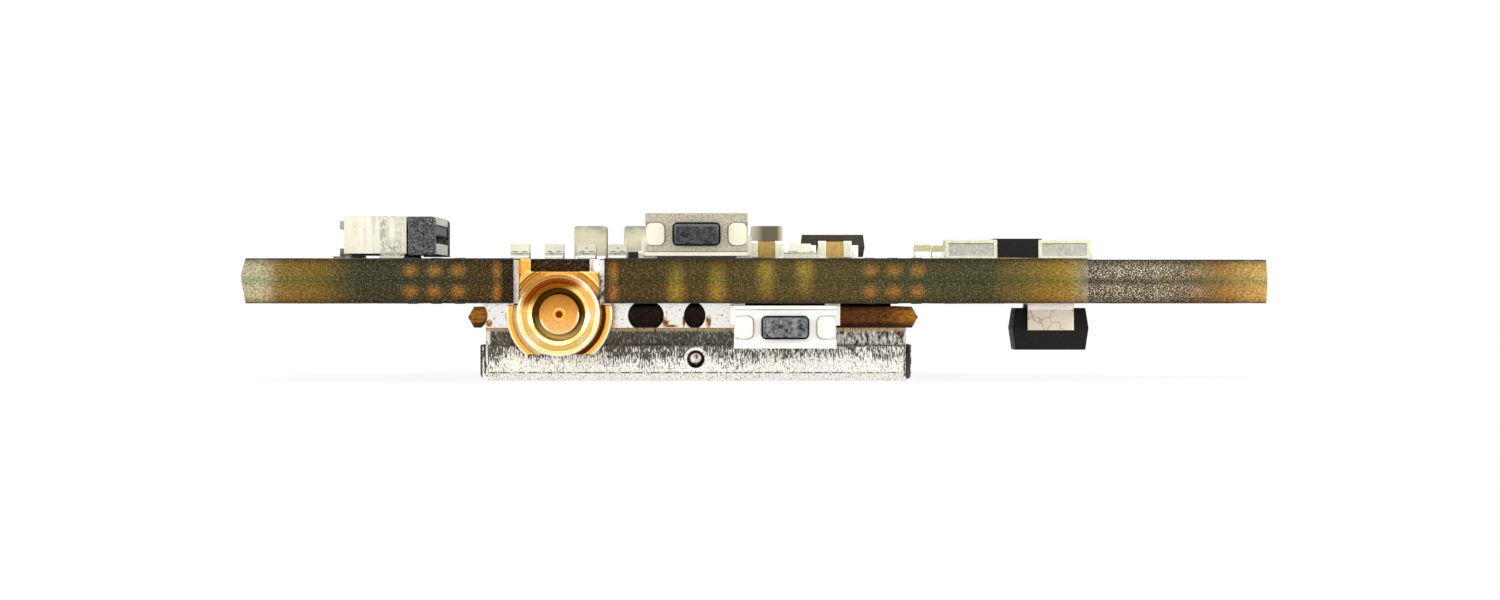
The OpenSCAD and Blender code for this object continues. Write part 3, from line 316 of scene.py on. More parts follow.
def paint(**sockets):
    """Links what changes over the surface to the shader's sockets."""
    for socket, value in sockets.items():
        tree.links.new(value, shader.inputs[socket.replace("_", " ")])


masked_laminate = finish("masked_laminate", Specular_IOR_Level=0.05, Coat_Roughness=0.25)
x, y, z = axes()
fibre = grained(0, 0.55, 8, 8, 13)
long_fibre = grained(7, 0.69, 9, 9, 14)
wander = calc("ADD", x, spread(fibre["Blotches"], 0, 1, -0.16, 0.16))
board_left, board_right = -18.85, 27.65
jack_x, jack_z = -4.67, -0.49
# The tones along the edge are partly its own colour and partly painted glow, where light comes through.
body_tone = ramp(
    spread(wander, board_left, board_right), (0.0, (0.35, 0.325, 0.183)), (0.022, (0.32, 0.29, 0.152)),
    (0.04, (0.168, 0.107, 0.019)), (0.08, (0.132, 0.08, 0.01)), (0.098, (0.066, 0.05, 0.011)),
    (0.117, (0.03, 0.029, 0.012)), (0.18, (0.036, 0.03, 0.01)), (0.236, (0.042, 0.025, 0.005)),
    (0.252, (0.022, 0.01, 0.002)), (0.345, (0.026, 0.012, 0.002)), (0.356, (0.046, 0.027, 0.005)),
    (0.52, (0.069, 0.049, 0.011)), (0.68, (0.046, 0.042, 0.015)), (0.715, (0.046, 0.044, 0.015)),
    (0.745, (0.112, 0.079, 0.016)), (0.788, (0.24, 0.14, 0.016)), (0.803, (0.28, 0.225, 0.095)),
    (0.812, (0.08, 0.055, 0.025)), (0.925, (0.098, 0.061, 0.02)), (0.958, (0.25, 0.152, 0.04)),
    (1.0, (0.545, 0.36, 0.105)))

from_middle = calc("ABSOLUTE", x)
core_level = 0.99
from_core = calc("ABSOLUTE", calc("SUBTRACT", z, core_level))
front = spread(y, -17.9, -17.7, 1.0, 0.0)
# Painted glow where light comes through the edge: dots at via barrels, bars at gaps in the copper planes,
# spots on the tab.
glow_dots = glows(*[(middle, 0.46, 0.37, 0.31) for middle in (9.12, 10.17, 11.22)], across=from_middle,
             height=from_core)
slot_glow_bars = glows((-7.4, 1.45, 0.22, 0.55), (-7.4, 0.5, 0.22, 0.6), (-2.25, 1.3, 0.24, 0.7),
                  (-2.25, 0.45, 0.26, 0.6))
glow_bars = glows((0.53, 0.55, 0.44, 1.2), (2.34, 0.6, 0.44, 1.2), (4.51, 1.35, 0.44, 1.15),
             (6.23, 1.45, 0.44, 1.05))
tab_glow_spots = glows((25.65, 0.46, 0.5, 0.32), (24.3, 0.46, 0.3, 0.26), height=from_core)
flicker = spread(fibre["Tone"], 0, 1, 0.65, 1.0)
from_jack = calc("ABSOLUTE", calc("ADD", x, -jack_x))
# Painted shade: the walls of the jack's slot are darkened.
slot_shade = both(band(y, -17.7, -17.5, -13.0, -13.2), spread(from_jack, 2.5, 2.4))
body_tone = tint(slot_shade, body_tone, (0.036, 0.022, 0.007))
body_tone = tint(both(glow_bars, front, flicker), body_tone, (0.25, 0.168, 0.021))
body_tone = tint(both(glow_dots, front, flicker), body_tone, (0.25, 0.118, 0.02))
body_tone = tint(both(slot_glow_bars, front, flicker, 0.85), body_tone, (0.3, 0.13, 0.024))
body_tone = tint(both(tab_glow_spots, flicker, 0.7), body_tone, (0.33, 0.16, 0.032))
plies_and_shade = ramp(from_core, (0.0, (0.8, 0.8, 0.78)), (0.08, (0.95, 0.95, 0.94)), (0.42, (1.12, 1.12, 1.1)),
             (0.74, (0.98, 0.98, 0.98)), (0.93, (0.52, 0.52, 0.56)))
body_tone = tint(1.0, body_tone, plies_and_shade, "MULTIPLY")
warmth = ramp(spread(z, 0, 2), (0.0, (1.1, 0.9, 0.78)), (0.3, (1.06, 0.95, 0.9)), (0.52, (0.94, 1.05, 1.08)),
              (0.75, (1.0, 1.0, 1.0)), (1.0, (1.02, 0.96, 0.94)))
body_tone = tint(1.0, body_tone, warmth, "MULTIPLY")
body_tone = tint(1.0, body_tone, tint(fibre["Tone"], (0.32, 0.32, 0.3), (1.68, 1.68, 1.72)), "MULTIPLY")
on_tab = both(spread(x, 18.55, 18.75), spread(x, 22.5, 25.4, 1.0, 0.0))
left_end = spread(x, -17.9, -17.2, 0.5, 0.0)
bands = ramp(from_core, (0.0, (0.22, 0.22, 0.22)), (0.12, (0.45, 0.45, 0.45)), (0.26, (1, 1, 1)),
             (0.6, (1, 1, 1)), (0.8, (0.35, 0.35, 0.35)))
torn = both(long_fibre["Specks"], bands, calc("MAXIMUM", on_tab, left_end))
body_tone = tint(torn, body_tone, (0.98, 0.9, 0.72))
body_tone = tint(both(fibre["Specks"], 0.24), body_tone, (0.52, 0.49, 0.38))
on_face = spread(calc("ADD", from_core, spread(fibre["Tone"], 0, 1, -0.02, 0.02)), 0.93, 0.96)
mask_tone = tint(fibre["Blotches"], (0.01, 0.01, 0.009), (0.018, 0.017, 0.015))
paint(Base_Color=tint(on_face, body_tone, mask_tone), Roughness=spread(on_face, 0, 1, 0.62, 0.4),
      Coat_Weight=spread(on_face, 0, 1, 0.0, 0.7))
relief(calc("ADD", fibre["Tone"], calc("MULTIPLY", torn, 2.0)), 6)
dress(masked_laminate, "main_board")


# The four mounting holes are plated through: a thin gilt collar on both faces and a lining between.
# One is drawn out ring by ring from its rim, and the others are copies of it.
board_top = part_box("main_board")[1].z
plating = 0.00001
mount = frame["record"]["mounts"][0]["dims"]
hole_r = mount["hole_r_mm"] / 1000
half_pattern = mount["spacing_x_mm"] / 2000


def pick(kind, test):
    """In edit mode, selects only the edges or faces of the piece for which the test holds."""
    bpy.ops.mesh.select_mode(type="EDGE" if kind == "edges" else "FACE")
    bpy.ops.mesh.select_all(action="DESELECT")
    mesh = bmesh.from_edit_mesh(bpy.context.object.data)
    for item in getattr(mesh, kind):
        item.select_set(test(item))
    bmesh.update_edit_mesh(bpy.context.object.data)


def block(low, high):
    """A block between two corners, open in edit mode, with its place and size in its mesh."""
    begin()
    bpy.ops.mesh.primitive_cube_add(size=1)
    made = bpy.context.object
    made.location = (Vector(low) + Vector(high)) / 2
    made.scale = Vector(high) - Vector(low)
    bpy.ops.object.transform_apply(location=True, rotation=True, scale=True)
    bpy.ops.object.mode_set(mode="EDIT")


def repeat(*places):
    """Copies of the active piece, each by its own matrix, joined into one group in its stead."""
    pattern = bpy.context.object
    begin()
    for place in places:
        copy = pattern.copy()
        copy.data = pattern.data.copy()
        copy.data.transform(place)
        scene.collection.objects.link(copy)
        copy.select_set(True)
        bpy.context.view_layer.objects.active = copy
    bpy.data.objects.remove(pattern)
    if len(places) > 1:
        bpy.ops.object.join()


def settle(name, material, smooth_to=40):
    """Ends a new piece of the board: its name, smooth shading, finish, body and slot."""
    piece = bpy.context.object
    piece.name = name
    piece.data.name = name
    bpy.ops.object.shade_smooth_by_angle(angle=math.radians(smooth_to))
    piece.data.materials.clear()
    piece.data.materials.append(material)
    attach(piece, "board")


def surface(tone, skin, smooth, rough, depth, soft=None):
    """The usual end of a finish: its colour, and roughness and relief that follow its grain."""
    paint(Base_Color=tone, Roughness=spread(skin["Tone"], 0, 1, smooth, rough))
    relief(skin["Tone"], depth, soft)


pad_gilt = finish("pad_gilt", Metallic=1.0)
skin = grained(31, 0.35, 5, 5, 5)
tone = tint(skin["Blotches"], (0.8, 0.56, 0.22), (0.92, 0.69, 0.34))
surface(tint(both(skin["Specks"], 0.3), tone, (0.45, 0.3, 0.12)), skin, 0.26, 0.42, 4)

collar_width = 0.0008
collar_r = hole_r + collar_width
lining_r = hole_r - plating
begin()
bpy.ops.mesh.primitive_circle_add(vertices=56, radius=collar_r, location=(0, 0, board_top))
bpy.ops.object.transform_apply(location=True)
bpy.ops.object.mode_set(mode="EDIT")
reached, at_height = collar_r, board_top
for radius, height in ((collar_r - plating, board_top + plating), (hole_r, board_top + plating),
                       (lining_r, board_top), (lining_r, 0.0), (hole_r, -plating),
                       (collar_r - plating, -plating), (collar_r, 0.0)):
    bpy.ops.mesh.extrude_edges_move(TRANSFORM_OT_translate={"value": (0, 0, height - at_height)})
    bpy.ops.transform.resize(value=(radius / reached, radius / reached, 1), center_override=(0, 0, height))
    reached, at_height = radius, height
pick("edges", lambda edge: edge.is_boundary)
bpy.ops.mesh.bridge_edge_loops()
bpy.ops.mesh.select_all(action="SELECT")
bpy.ops.mesh.normals_make_consistent(inside=False)
bpy.ops.object.mode_set(mode="OBJECT")
repeat(*[Matrix.Translation((x, y, 0)) for x in (-half_pattern, half_pattern)
         for y in (-half_pattern, half_pattern)])
settle("hole_plating", pad_gilt)


# The battery leads are soldered to gilt pads on the tab, two on each face. A pad is a plate of
# plated copper with round corners and a soft rim where the mask stops.
pad_low = Vector((0.0205, 0.0012, board_top))
pad_high = Vector((0.0262, 0.0074, board_top + plating))
block(pad_low, pad_high)
pick("edges", lambda edge: abs(edge.verts[0].co.z - edge.verts[1].co.z) > plating / 2)
pad_corner, pad_rim = 0.0009, 0.00008
bpy.ops.mesh.bevel(offset=pad_corner, segments=6, affect="EDGES")
pick("faces", lambda face: face.normal.z > 0.9)
bpy.ops.mesh.inset(thickness=pad_rim, depth=plating * 0.6)
bpy.ops.object.mode_set(mode="OBJECT")
under = Matrix.Translation((0, 0, board_top)) @ Matrix.Rotation(math.pi, 4, "X")
other = Matrix.Translation((0, -(pad_low.y + pad_high.y), 0))
repeat(Matrix(), other, under, other.inverted() @ under)
settle("battery_pads", pad_gilt)


# The copper tracks lie under the mask and show as low ridges, with small covered holes at their ends.
# They are drawn as lines with a round section, half sunk in the board's face and pressed flat.
covered_copper = finish("covered_copper", Specular_IOR_Level=0.1, Coat_Roughness=0.25)
skin = grained(33, 0.3, 6, 6, 6)
paint(Coat_Weight=spread(skin["Tone"], 0, 1, 0.6, 0.8))
surface(tint(skin["Blotches"], (0.017, 0.016, 0.013), (0.027, 0.025, 0.02)), skin, 0.34, 0.46, 3)


def tracks(name, face, thickness, *routes):
    """Tracks along routes of points in millimetres, on the face at that height."""
    begin()
    lines = bpy.data.curves.new(name, "CURVE")
    lines.dimensions = "3D"
    lines.bevel_depth = thickness / 2000
    lines.bevel_resolution = 1
    lines.use_fill_caps = True
    for route in routes:
        line = lines.splines.new("POLY")
        line.points.add(len(route) - 1)
        for point, (x, y) in zip(line.points, route):
            point.co = (x / 1000, y / 1000, 0, 1)
    made = bpy.data.objects.new(name, lines)
    scene.collection.objects.link(made)
    made.select_set(True)
    bpy.context.view_layer.objects.active = made
    bpy.ops.object.convert(target="MESH")
    bpy.context.object.data.transform(Matrix.Translation((0, 0, face)) @ Matrix.Diagonal((1, 1, 0.35, 1)))
    settle(name, covered_copper, 60)


ribbon_tails = [-10.25 + 0.5 * number for number in range(20)]
chip_sides = [-9.0 + 0.5 * number for number in range(7)]
lamp_middles = (-6.56, -5.02, -3.56, -2.16)
top_routes = [
    *[((-15.1, y), (-16.3 - 0.6 * (number % 2), y)) for number, y in enumerate(ribbon_tails)],
    *[((-0.5, y), (-1.3, y), (-2.25 - 0.45 * (number % 2), -7.5 + 1.35 * (y + 7.5)),
       (-2.6 - 0.45 * (number % 2), -7.5 + 1.35 * (y + 7.5))) for number, y in enumerate(chip_sides)],
    *[((x, -12.1), (x, turn + 0.6), (x + 0.6, turn))
      for x, turn in zip(lamp_middles, (-9.9, -9.3, -8.7, -10.6))],
    *[((3.4, y), (4.4, y), (5.2, y + 0.8), (5.8 + 0.4 * number, y + 0.8))
      for number, y in enumerate(chip_sides[1:6])],
    *[((x, 5.6), (x, 3.4), (x + 0.7, 2.7)) for x in (-4.0, -1.6, 4.6)],
    *[((-9.4, y), (-8.2, y), (-7.2, y + 1.0), (-4.6, y + 1.0)) for y in (-4.5, -3.6, -2.7, 2.5, 3.4)],
    *[((11.0, y), (9.6, y), (8.8, y + 0.8), (8.8, y + 3.0)) for y in (6.4, 9.6, 12.8)]]
edge_routes = [((x, 17.0), (x, 13.6), (x - 1.2, 12.4), (x - 1.2, 11.2)) for x in (-6.5, -5.6, -4.7, 2.6, 3.5)]
tracks("fine_tracks", board_top, 0.16, *top_routes, *edge_routes,
       *[((x, 6.9), (x, 5.6)) for x in (-3.6, -1.2, 5.0)])
tracks("power_tracks", board_top, 0.55, ((7.5, -10.3), (7.5, -4.2), (5.9, -2.6), (4.2, -2.6)),
       ((4.2, 0.4), (7.2, 0.4), (9.0, 2.2), (11.6, 2.2)), ((13.9, 4.0), (16.2, 1.7), (16.2, -3.9)),
       ((-1.4, 0.0), (-3.2, 0.0), (-5.0, 1.8), (-5.0, 6.4)))
under_routes = [
    *[((12.6, y), (14.4, y), (15.2, y + 0.8), (15.2, y + 3.4)) for y in (-13.0, -11.9, 3.2, 6.5, 9.4)],
    *[((x, 17.0), (x, 15.4), (x + 1.0, 14.4)) for x in (-9.0, -5.5, -1.0, 2.4, 6.2, 9.0)]]
tracks("under_tracks", 0.0, 0.16, *under_routes,
       *[((-16.9 + step, -8.5), (-16.9 + step, 3.0 + 0.8 * step), (-14.6 + step, 5.3 + 0.8 * step))
         for step in (0.0, 0.5, 1.0, 1.5, 2.0, 2.5)])

cover_r, cover_height, cover_rim = 0.00024, 0.00003, 0.0001
begin()
bpy.ops.mesh.primitive_cylinder_add(vertices=14, radius=cover_r, depth=cover_height, location=(0, 0, plating))
bpy.ops.object.transform_apply(location=True)
bpy.ops.object.mode_set(mode="EDIT")
pick("faces", lambda face: face.normal.z > 0.9)
bpy.ops.mesh.inset(thickness=cover_rim)
bpy.ops.mesh.inset(thickness=0.4 * cover_rim, depth=-cover_height)
bpy.ops.object.mode_set(mode="OBJECT")
along_edges = [(x, side * 16.6) for side in (-1, 1) for x in (-11.2, -10.15, -9.1, 9.1, 10.15, 11.2)]
between_pads = [(22.0 + 0.9 * number, 0.0) for number in range(4)]
top_holes = [*[route[-1] for route in top_routes], *[route[0] for route in edge_routes],
             *along_edges, *between_pads]
under_holes = [*[route[-1] for route in under_routes], *along_edges]
flip = Matrix.Rotation(math.pi, 4, "X")
repeat(*[Matrix.Translation((x / 1000, y / 1000, board_top)) for x, y in top_holes],
       *[Matrix.Translation((x / 1000, y / 1000, 0)) @ flip for x, y in under_holes])
settle("covered_holes", covered_copper)


# The aerial jack is turned from brass and gilt, with a fluoropolymer insulator round its contact.
# It lies in a slot of the board's front edge, and solder holds it on both sides. Painted shade darkens the
# upper left of its barrel and bore.
def from_jack_axis():
    """The distance from the jack's axis, in millimetres."""
    return length(calc("SUBTRACT", x, jack_x), calc("SUBTRACT", z, jack_z))


# Soft edges, used where a sharp solid has small broken edges: the rounded normal and an edge mask.
broken_edge, taken, given = shared_effect("broken_edge", [("Radius", "Float", 0.00003)],
                                          [("Normal", "Vector"), ("Edge", "Float")])
rounded = add("Bevel", {"Radius": taken["Radius"]}, samples=4).outputs[0]
flat = add("NewGeometry").outputs["Normal"]
meet = add("VectorMath", {0: rounded, 1: flat}, operation="DOT_PRODUCT").outputs["Value"]
tree.links.new(rounded, given["Normal"])
tree.links.new(spread(meet, 1.0, 0.75), given["Edge"])


def softened(radius):
    """The shared broken edge, by its radius in micrometres."""
    return use(broken_edge, Radius=radius / 1e6)


gilt = finish("turned_gilt")
x, y, z = axes()
out = from_jack_axis()
lathe_place = add("CombineXYZ", {0: calc("MULTIPLY", out, 22), 1: calc("MULTIPLY", y, 14)})
lathe = add("TexNoise", {"Vector": lathe_place.outputs[0], "Scale": 1, "Detail": 2}).outputs[0]
skin = grained(3, 0.3, 6, 6, 6)
soft = softened(100)
tone = tint(skin["Blotches"], (0.9, 0.46, 0.08), (1.0, 0.58, 0.13))
# Painted light: the jack is lighter towards its lower right.
downward = calc("SUBTRACT", calc("MULTIPLY", x, 0.5), calc("MULTIPLY", z, 0.87))
tone = tint(spread(downward, -2.0, 0.2, 0.0, 0.6), tone, (1.0, 0.66, 0.2))
low_half = spread(z, 0.2, -0.1)
# Painted shade and highlight on the flange's lower half: a darker orange face and a pale outer edge.
flange_face = both(band(out, 2.06, 2.1, 2.24, 2.2), low_half)
tone = tint(both(flange_face, 0.55), tone, (0.92, 0.45, 0.055))
tone = tint(both(spread(out, 2.22, 2.29), low_half, 0.9), tone, (1.0, 0.9, 0.58))
# Painted shade: the upper left of the barrel, and of the bore below, is darkened.
leaning = calc("SUBTRACT", calc("MULTIPLY", z, 0.94), calc("MULTIPLY", x, 0.34))
upper_shade = spread(leaning, 1.8, 2.3, soft=True)
bright = calc("SUBTRACT", 1.0, upper_shade)
barrel = spread(out, 1.92, 1.88)
turned = add("TexNoise", {"Vector": add("CombineXYZ", {0: calc("MULTIPLY", out, 9)}).outputs[0], "Scale": 1,
                          "Detail": 3, "Roughness": 0.7}).outputs[0]
tone = tint(both(barrel, bright, spread(turned, 0.36, 0.56, 0.35, 0.95)), tone, (1.0, 0.76, 0.27))
tone = tint(both(barrel, bright, spread(turned, 0.46, 0.38, 0.0, 0.8)), tone, (0.7, 0.3, 0.03))
tone = tint(both(barrel, upper_shade, 0.9), tone, (0.42, 0.17, 0.03))
# Painted highlights: pale gleams on the barrel.
painted_gleams = glows((-3.2, -0.49, 0.25, 0.45), (-5.75, -1.6, 0.45, 0.35), (-3.5, -1.65, 0.4, 0.35),
                 (-3.43, 0.75, 0.2, 0.25))
tone = tint(both(barrel, painted_gleams, 0.85), tone, (1.0, 0.92, 0.6))
# Painted highlight along the broken edges.
tone = tint(both(soft["Edge"], 0.6), tone, (1.0, 0.8, 0.4))
# Painted highlight: the bore's front lip is pale all round but the upper left.
lip_highlight = both(spread(out, 1.66, 1.82), spread(y, -18.25, -18.35), spread(leaning, 2.65, 2.05, 0.0, 0.9))
tone = tint(lip_highlight, tone, (1.0, 0.94, 0.7))
on_block = both(spread(y, -17.1, -17.16), spread(z, 0.6, 0.8))
# Painted shadow: a dark line on the block's front beside the groove, at the upper left.
left_shadow_line = both(on_block, spread(out, 2.11, 2.14), spread(out, 2.22, 2.18), spread(x, -5.3, -5.5))
tone = tint(left_shadow_line, tone, (0.3, 0.085, 0.006))
# Painted highlight: a pale line on the block's front beside the groove, at the upper right.
right_highlight_line = both(on_block, spread(out, 2.09, 2.12), spread(out, 2.22, 2.17), spread(x, -3.8, -3.6))
tone = tint(both(right_highlight_line, 0.85), tone, (1.0, 0.9, 0.45))
# Painted shade in the upper left of the bore.
bore = both(spread(out, 1.66, 1.58), spread(y, -18.48, -18.05))
tone = tint(both(bore, upper_shade), tone, (0.27, 0.084, 0.005))
# Painted shade: the gap round the insulator is dark, most of all at the top.
gap_shade = both(spread(out, 1.2, 1.14), spread(y, -17.6, -17.3))
tone = tint(both(gap_shade, spread(z, -1.7, -0.5, 0.35, 1.0)), tone, (0.085, 0.038, 0.004))
groove = both(band(out, 1.85, 1.88, 2.08, 2.055), spread(y, -17.2, -17.1))
shaded = both(spread(x, -4.4, -3.9), spread(z, 0.6, 0.3))
upper = spread(z, 0.25, 0.65)
lit_groove = tint(upper, (1.0, 0.82, 0.42), (0.72, 0.33, 0.045))
tone = tint(groove, tone, tint(shaded, lit_groove, (0.08, 0.022, 0.002)))
wetted = both(spread(x, -3.75, -3.65), spread(z, 1.4, 1.46))
tone = tint(wetted, tone, (0.6, 0.62, 0.6))
wall = both(band(out, 1.36, 1.42, 1.64, 1.6), bright)
dull = calc("MAXIMUM", wall, both(groove, calc("SUBTRACT", 1.0, shaded), calc("SUBTRACT", 1.0, upper)))
dull = calc("MAXIMUM", dull, calc("MULTIPLY", lip_highlight, 0.9))
paint(Metallic=spread(dull, 0, 1, 1.0, 0.35), Base_Color=tone,
      Roughness=spread(calc("ADD", lathe, skin["Tone"]), 0.6, 1.5, 0.14, 0.3))
relief(lathe, 4, soft)
dress(gilt, "jack_body")

contact_gilt = finish("contact_gilt", Metallic=1.0)
x, y, z = axes()
skin = grained(41, 0.3, 12, 12, 12)
tone = tint(skin["Tone"], (0.88, 0.42, 0.06), (1.0, 0.58, 0.13))
# Painted shade: the hole in the contact's middle is dark.
tone = tint(spread(from_jack_axis(), 0.2, 0.13), tone, (0.3, 0.05, 0.003))
surface(tone, skin, 0.2, 0.35, 3)
dress(contact_gilt, "jack_contact")

insulator = finish("jack_fluoropolymer", Specular_IOR_Level=0.2)
x, y, z = axes()
skin = grained(5, 0.35, 9, 9, 9)
# Painted shade: darker towards the top.
tone = ramp(spread(z, -1.4, 0.4), (0.0, (0.9, 0.57, 0.22)), (0.45, (0.8, 0.4, 0.075)),
            (0.75, (0.56, 0.24, 0.03)), (1.0, (0.42, 0.17, 0.016)))
tone = tint(1.0, tone, tint(skin["Tone"], (0.86, 0.86, 0.86), (1.08, 1.08, 1.08)), "MULTIPLY")
# Painted highlights: a pale lower rim and gleams on the rim.
lower_rim_highlight = both(spread(from_jack_axis(), 0.74, 0.82), spread(z, -0.5, -0.9))
tone = tint(both(lower_rim_highlight, 0.5), tone, (1.0, 0.8, 0.42))
rim_gleam = both(spread(from_jack_axis(), 0.78, 0.83),
                 glows((-5.33, -0.98, 0.38, 0.34), (-3.85, -0.62, 0.16, 0.26)))
tone = tint(spread(rim_gleam, 0.15, 0.55), tone, (1.0, 0.95, 0.66))
surface(tone, skin, 0.35, 0.5, 2)
dress(insulator, "jack_insulator")

solder = finish("solder", Metallic=0.65)
x, y, z = axes()
skin = grained(11, 0.4, 4, 4, 4)
tone = tint(skin["Blotches"], (0.82, 0.79, 0.75), (0.98, 0.95, 0.92))
flux = calc("MAXIMUM", calc("MULTIPLY", skin["Specks"], 0.7),
            both(band(z, -0.85, -1.08, -1.25, -1.12), skin["Tone"]))
tone = tint(flux, tone, (0.3, 0.15, 0.05))
stain = both(band(x, -6.62, -6.45, -5.7, -5.9), spread(z, 1.1, 1.35))
tone = tint(both(stain, 0.85), tone, (0.8, 0.4, 0.08))
# A dark, patchy strip on the solder in the narrow space beside the jack.
dark_patch = both(band(z, 1.32, 1.15, -0.02, 0.02), spread(x, -2.96, -2.92), spread(x, -2.55, -2.58),
            spread(skin["Tone"], 0.66, 0.46, 0.25, 0.95))
tone = tint(dark_patch, tone, (0.085, 0.065, 0.038))
at_lamps = both(spread(z, 1.97, 1.99), spread(x, -1.55, -1.65), spread(y, -14.1, -14.0),
                spread(y, -11.6, -11.7))
tone = tint(both(at_lamps, 0.85), tone, (0.52, 0.51, 0.42))
paint(Base_Color=tone, Roughness=spread(skin["Tone"], 0, 1, 0.22, 0.45))
relief(calc("ADD", skin["Blotches"], calc("MULTIPLY", skin["Tone"], 0.3)), 10)
dress(solder, "jack_solder")

begin()
bpy.ops.mesh.primitive_uv_sphere_add(segments=24, ring_count=14, radius=0.0005)
bead = bpy.context.object
bead.scale = (0.62, 1.2, 1.05)
bead.location = (-0.00298, -0.01635, 0.00146)
bpy.ops.object.transform_apply(location=True, rotation=True, scale=True)
bpy.ops.object.mode_set(mode="EDIT")
bpy.ops.mesh.select_all(action="SELECT")
bead_top = 0.00193
bpy.ops.mesh.bisect(plane_co=(0, 0, bead_top), plane_no=(0, 0, 1), clear_outer=True, threshold=1e-8)
pick("edges", lambda edge: edge.is_boundary)
bpy.ops.mesh.edge_face_add()
pick("faces", lambda face: face.normal.z > 0.99)
bead_rim = 0.00006
bpy.ops.mesh.inset(thickness=bead_rim, depth=bead_rim / 3)
bpy.ops.object.mode_set(mode="OBJECT")
settle("jack_bead", solder, 60)


# The two side buttons are the same switch, one on each face: a white moulded base, a folded satin
# cover with two pegs through it, a dark push button, a snap dome behind it, and tinned terminals.
satin_cover = finish("satin_cover", Metallic=0.85)
skin = grained(2, 0.5, 11, 11, 11)
soft = softened(50)
tone = tint(skin["Tone"], (0.19, 0.172, 0.13), (0.6, 0.565, 0.44))
tone = tint(both(skin["Blotches"], 0.35), tone, (0.42, 0.36, 0.26))
tone = tint(both(soft["Edge"], 0.6), tone, (0.8, 0.77, 0.64))
surface(tone, skin, 0.4, 0.58, 8, soft)
dress(satin_cover, "upper_button_cover")

# Painted light: the lower cover is a lighter copy of the upper cover.
bright_cover = finish("bright_cover", Metallic=0.3)
skin = grained(42, 0.35, 7, 7, 7)
soft = softened(60)
tone = tint(skin["Blotches"], (0.82, 0.81, 0.75), (0.9, 0.89, 0.85))
tone = tint(both(skin["Specks"], 0.25), tone, (0.66, 0.6, 0.5))
surface(tone, skin, 0.36, 0.5, 4, soft)
dress(bright_cover, "lower_button_cover")

# Painted light: the lower base is a lighter copy of the upper base.
for name, node, seed, dim, pale in (
        ("white_moulding", "upper_button_base", 4, (0.75, 0.7, 0.55), (0.83, 0.79, 0.64)),
        ("pale_moulding", "lower_button_base", 48, (0.84, 0.82, 0.75), (0.9, 0.88, 0.82))):
    moulding = finish(name, Specular_IOR_Level=0.3)
    skin = grained(seed, 0.3, 5, 5, 5)
    surface(tint(skin["Blotches"], dim, pale), skin, 0.42, 0.55, 4, softened(80))
    dress(moulding, node)

half_push_w, half_push_h = 1.06, 0.515
# Painted light: the lower push is a lighter copy of the upper push.
for name, node, seed, dark, pale, fleck, middle, level in (
        ("dark_push", "upper_button_push", 6, (0.003, 0.004, 0.005), (0.056, 0.061, 0.06), 0.2, 1.44, 3.06),
        ("worn_push", "lower_button_push", 43, (0.006, 0.008, 0.009), (0.235, 0.248, 0.242), 0.7,
         5.36, -1.07)):
    moulding = finish(name, Specular_IOR_Level=0.25)
    x, y, z = axes()
    skin = grained(seed, 0.5, 5, 5, 5)
    soft = softened(100)
    aside = calc("ABSOLUTE", calc("SUBTRACT", x, middle))
    above = calc("SUBTRACT", z, level)
    inset = calc("MINIMUM", calc("SUBTRACT", half_push_w, aside),
                 calc("SUBTRACT", half_push_h, calc("ABSOLUTE", above)))
    tone = tint(spread(skin["Tone"], 0.2, 0.85), dark, pale)
    tone = tint(both(skin["Specks"], fleck), tone, (0.42, 0.44, 0.43))
    # Painted highlight along the push's upper edge.
    painted_light_mask = both(spread(inset, 0.2, 0.13), spread(above, -0.2, 0.3), 0.45)
    tone = tint(painted_light_mask, tone, (0.24, 0.25, 0.25))
    # Painted shadow: a dark line round the push's edge, in the gap.
    tone = tint(spread(inset, 0.1, 0.06), tone, (0.005, 0.004, 0.004))
    surface(tone, skin, 0.42, 0.65, 10, soft)
    dress(moulding, node)

spring_steel = finish("spring_steel", Metallic=1.0)
skin = grained(8, 0.4, 3, 14, 14)
paint(Base_Color=tint(skin["Tone"], (0.58, 0.58, 0.57), (0.74, 0.74, 0.73)),
      Roughness=spread(skin["Tone"], 0, 1, 0.2, 0.35))
dress(spring_steel, "upper_button_dome", "lower_button_dome")

tin_plate = finish("tin_plate", Metallic=0.8)
x, y, z = axes()
skin = grained(9, 0.4, 8, 8, 8)
soft = softened(60)
tone = tint(skin["Tone"], (0.82, 0.815, 0.6), (0.96, 0.955, 0.74))
tone = tint(spread(x, 11.0, 11.3, 0.0, 0.85), tone, (0.72, 0.62, 0.35))
tone = tint(both(soft["Edge"], 0.5), tone, (0.95, 0.94, 0.84))
paint(Base_Color=tone, Roughness=spread(skin["Blotches"], 0, 1, 0.24, 0.4))
relief(skin["Tone"], 2, soft)
dress(tin_plate, "upper_button_terminals", "lower_button_terminals", "small_capacitor_ends",
      "right_capacitor_ends", "resistor_ends", "regulator_leads", "inductor_ends", "crystal")


# The transmitter module is a board of its own, soldered under the main one along its edges. A frame
# of bent sheet stands on it, and a folded, tinned lid is pressed over the frame, held by round dimples.
brown_laminate = finish("brown_laminate", Specular_IOR_Level=0.15)
x, y, z = axes()
fibre = grained(12, 0.55, 4, 4, 9)
module_left, module_right, module_low, module_high = -8.93, 11.38, -1.1, -0.15
# Painted shade and glow: nearly black in the middle, in shade between the solder joints, amber at the ends
# where light comes through.
tone = ramp(
    spread(x, module_left, module_right), (0.0, (0.5, 0.24, 0.03)), (0.05, (0.36, 0.13, 0.014)),
    (0.1, (0.018, 0.009, 0.005)), (0.6, (0.018, 0.009, 0.005)), (0.76, (0.15, 0.045, 0.007)),
    (0.93, (0.2, 0.07, 0.013)), (0.97, (0.46, 0.18, 0.018)), (1.0, (0.58, 0.255, 0.03)))
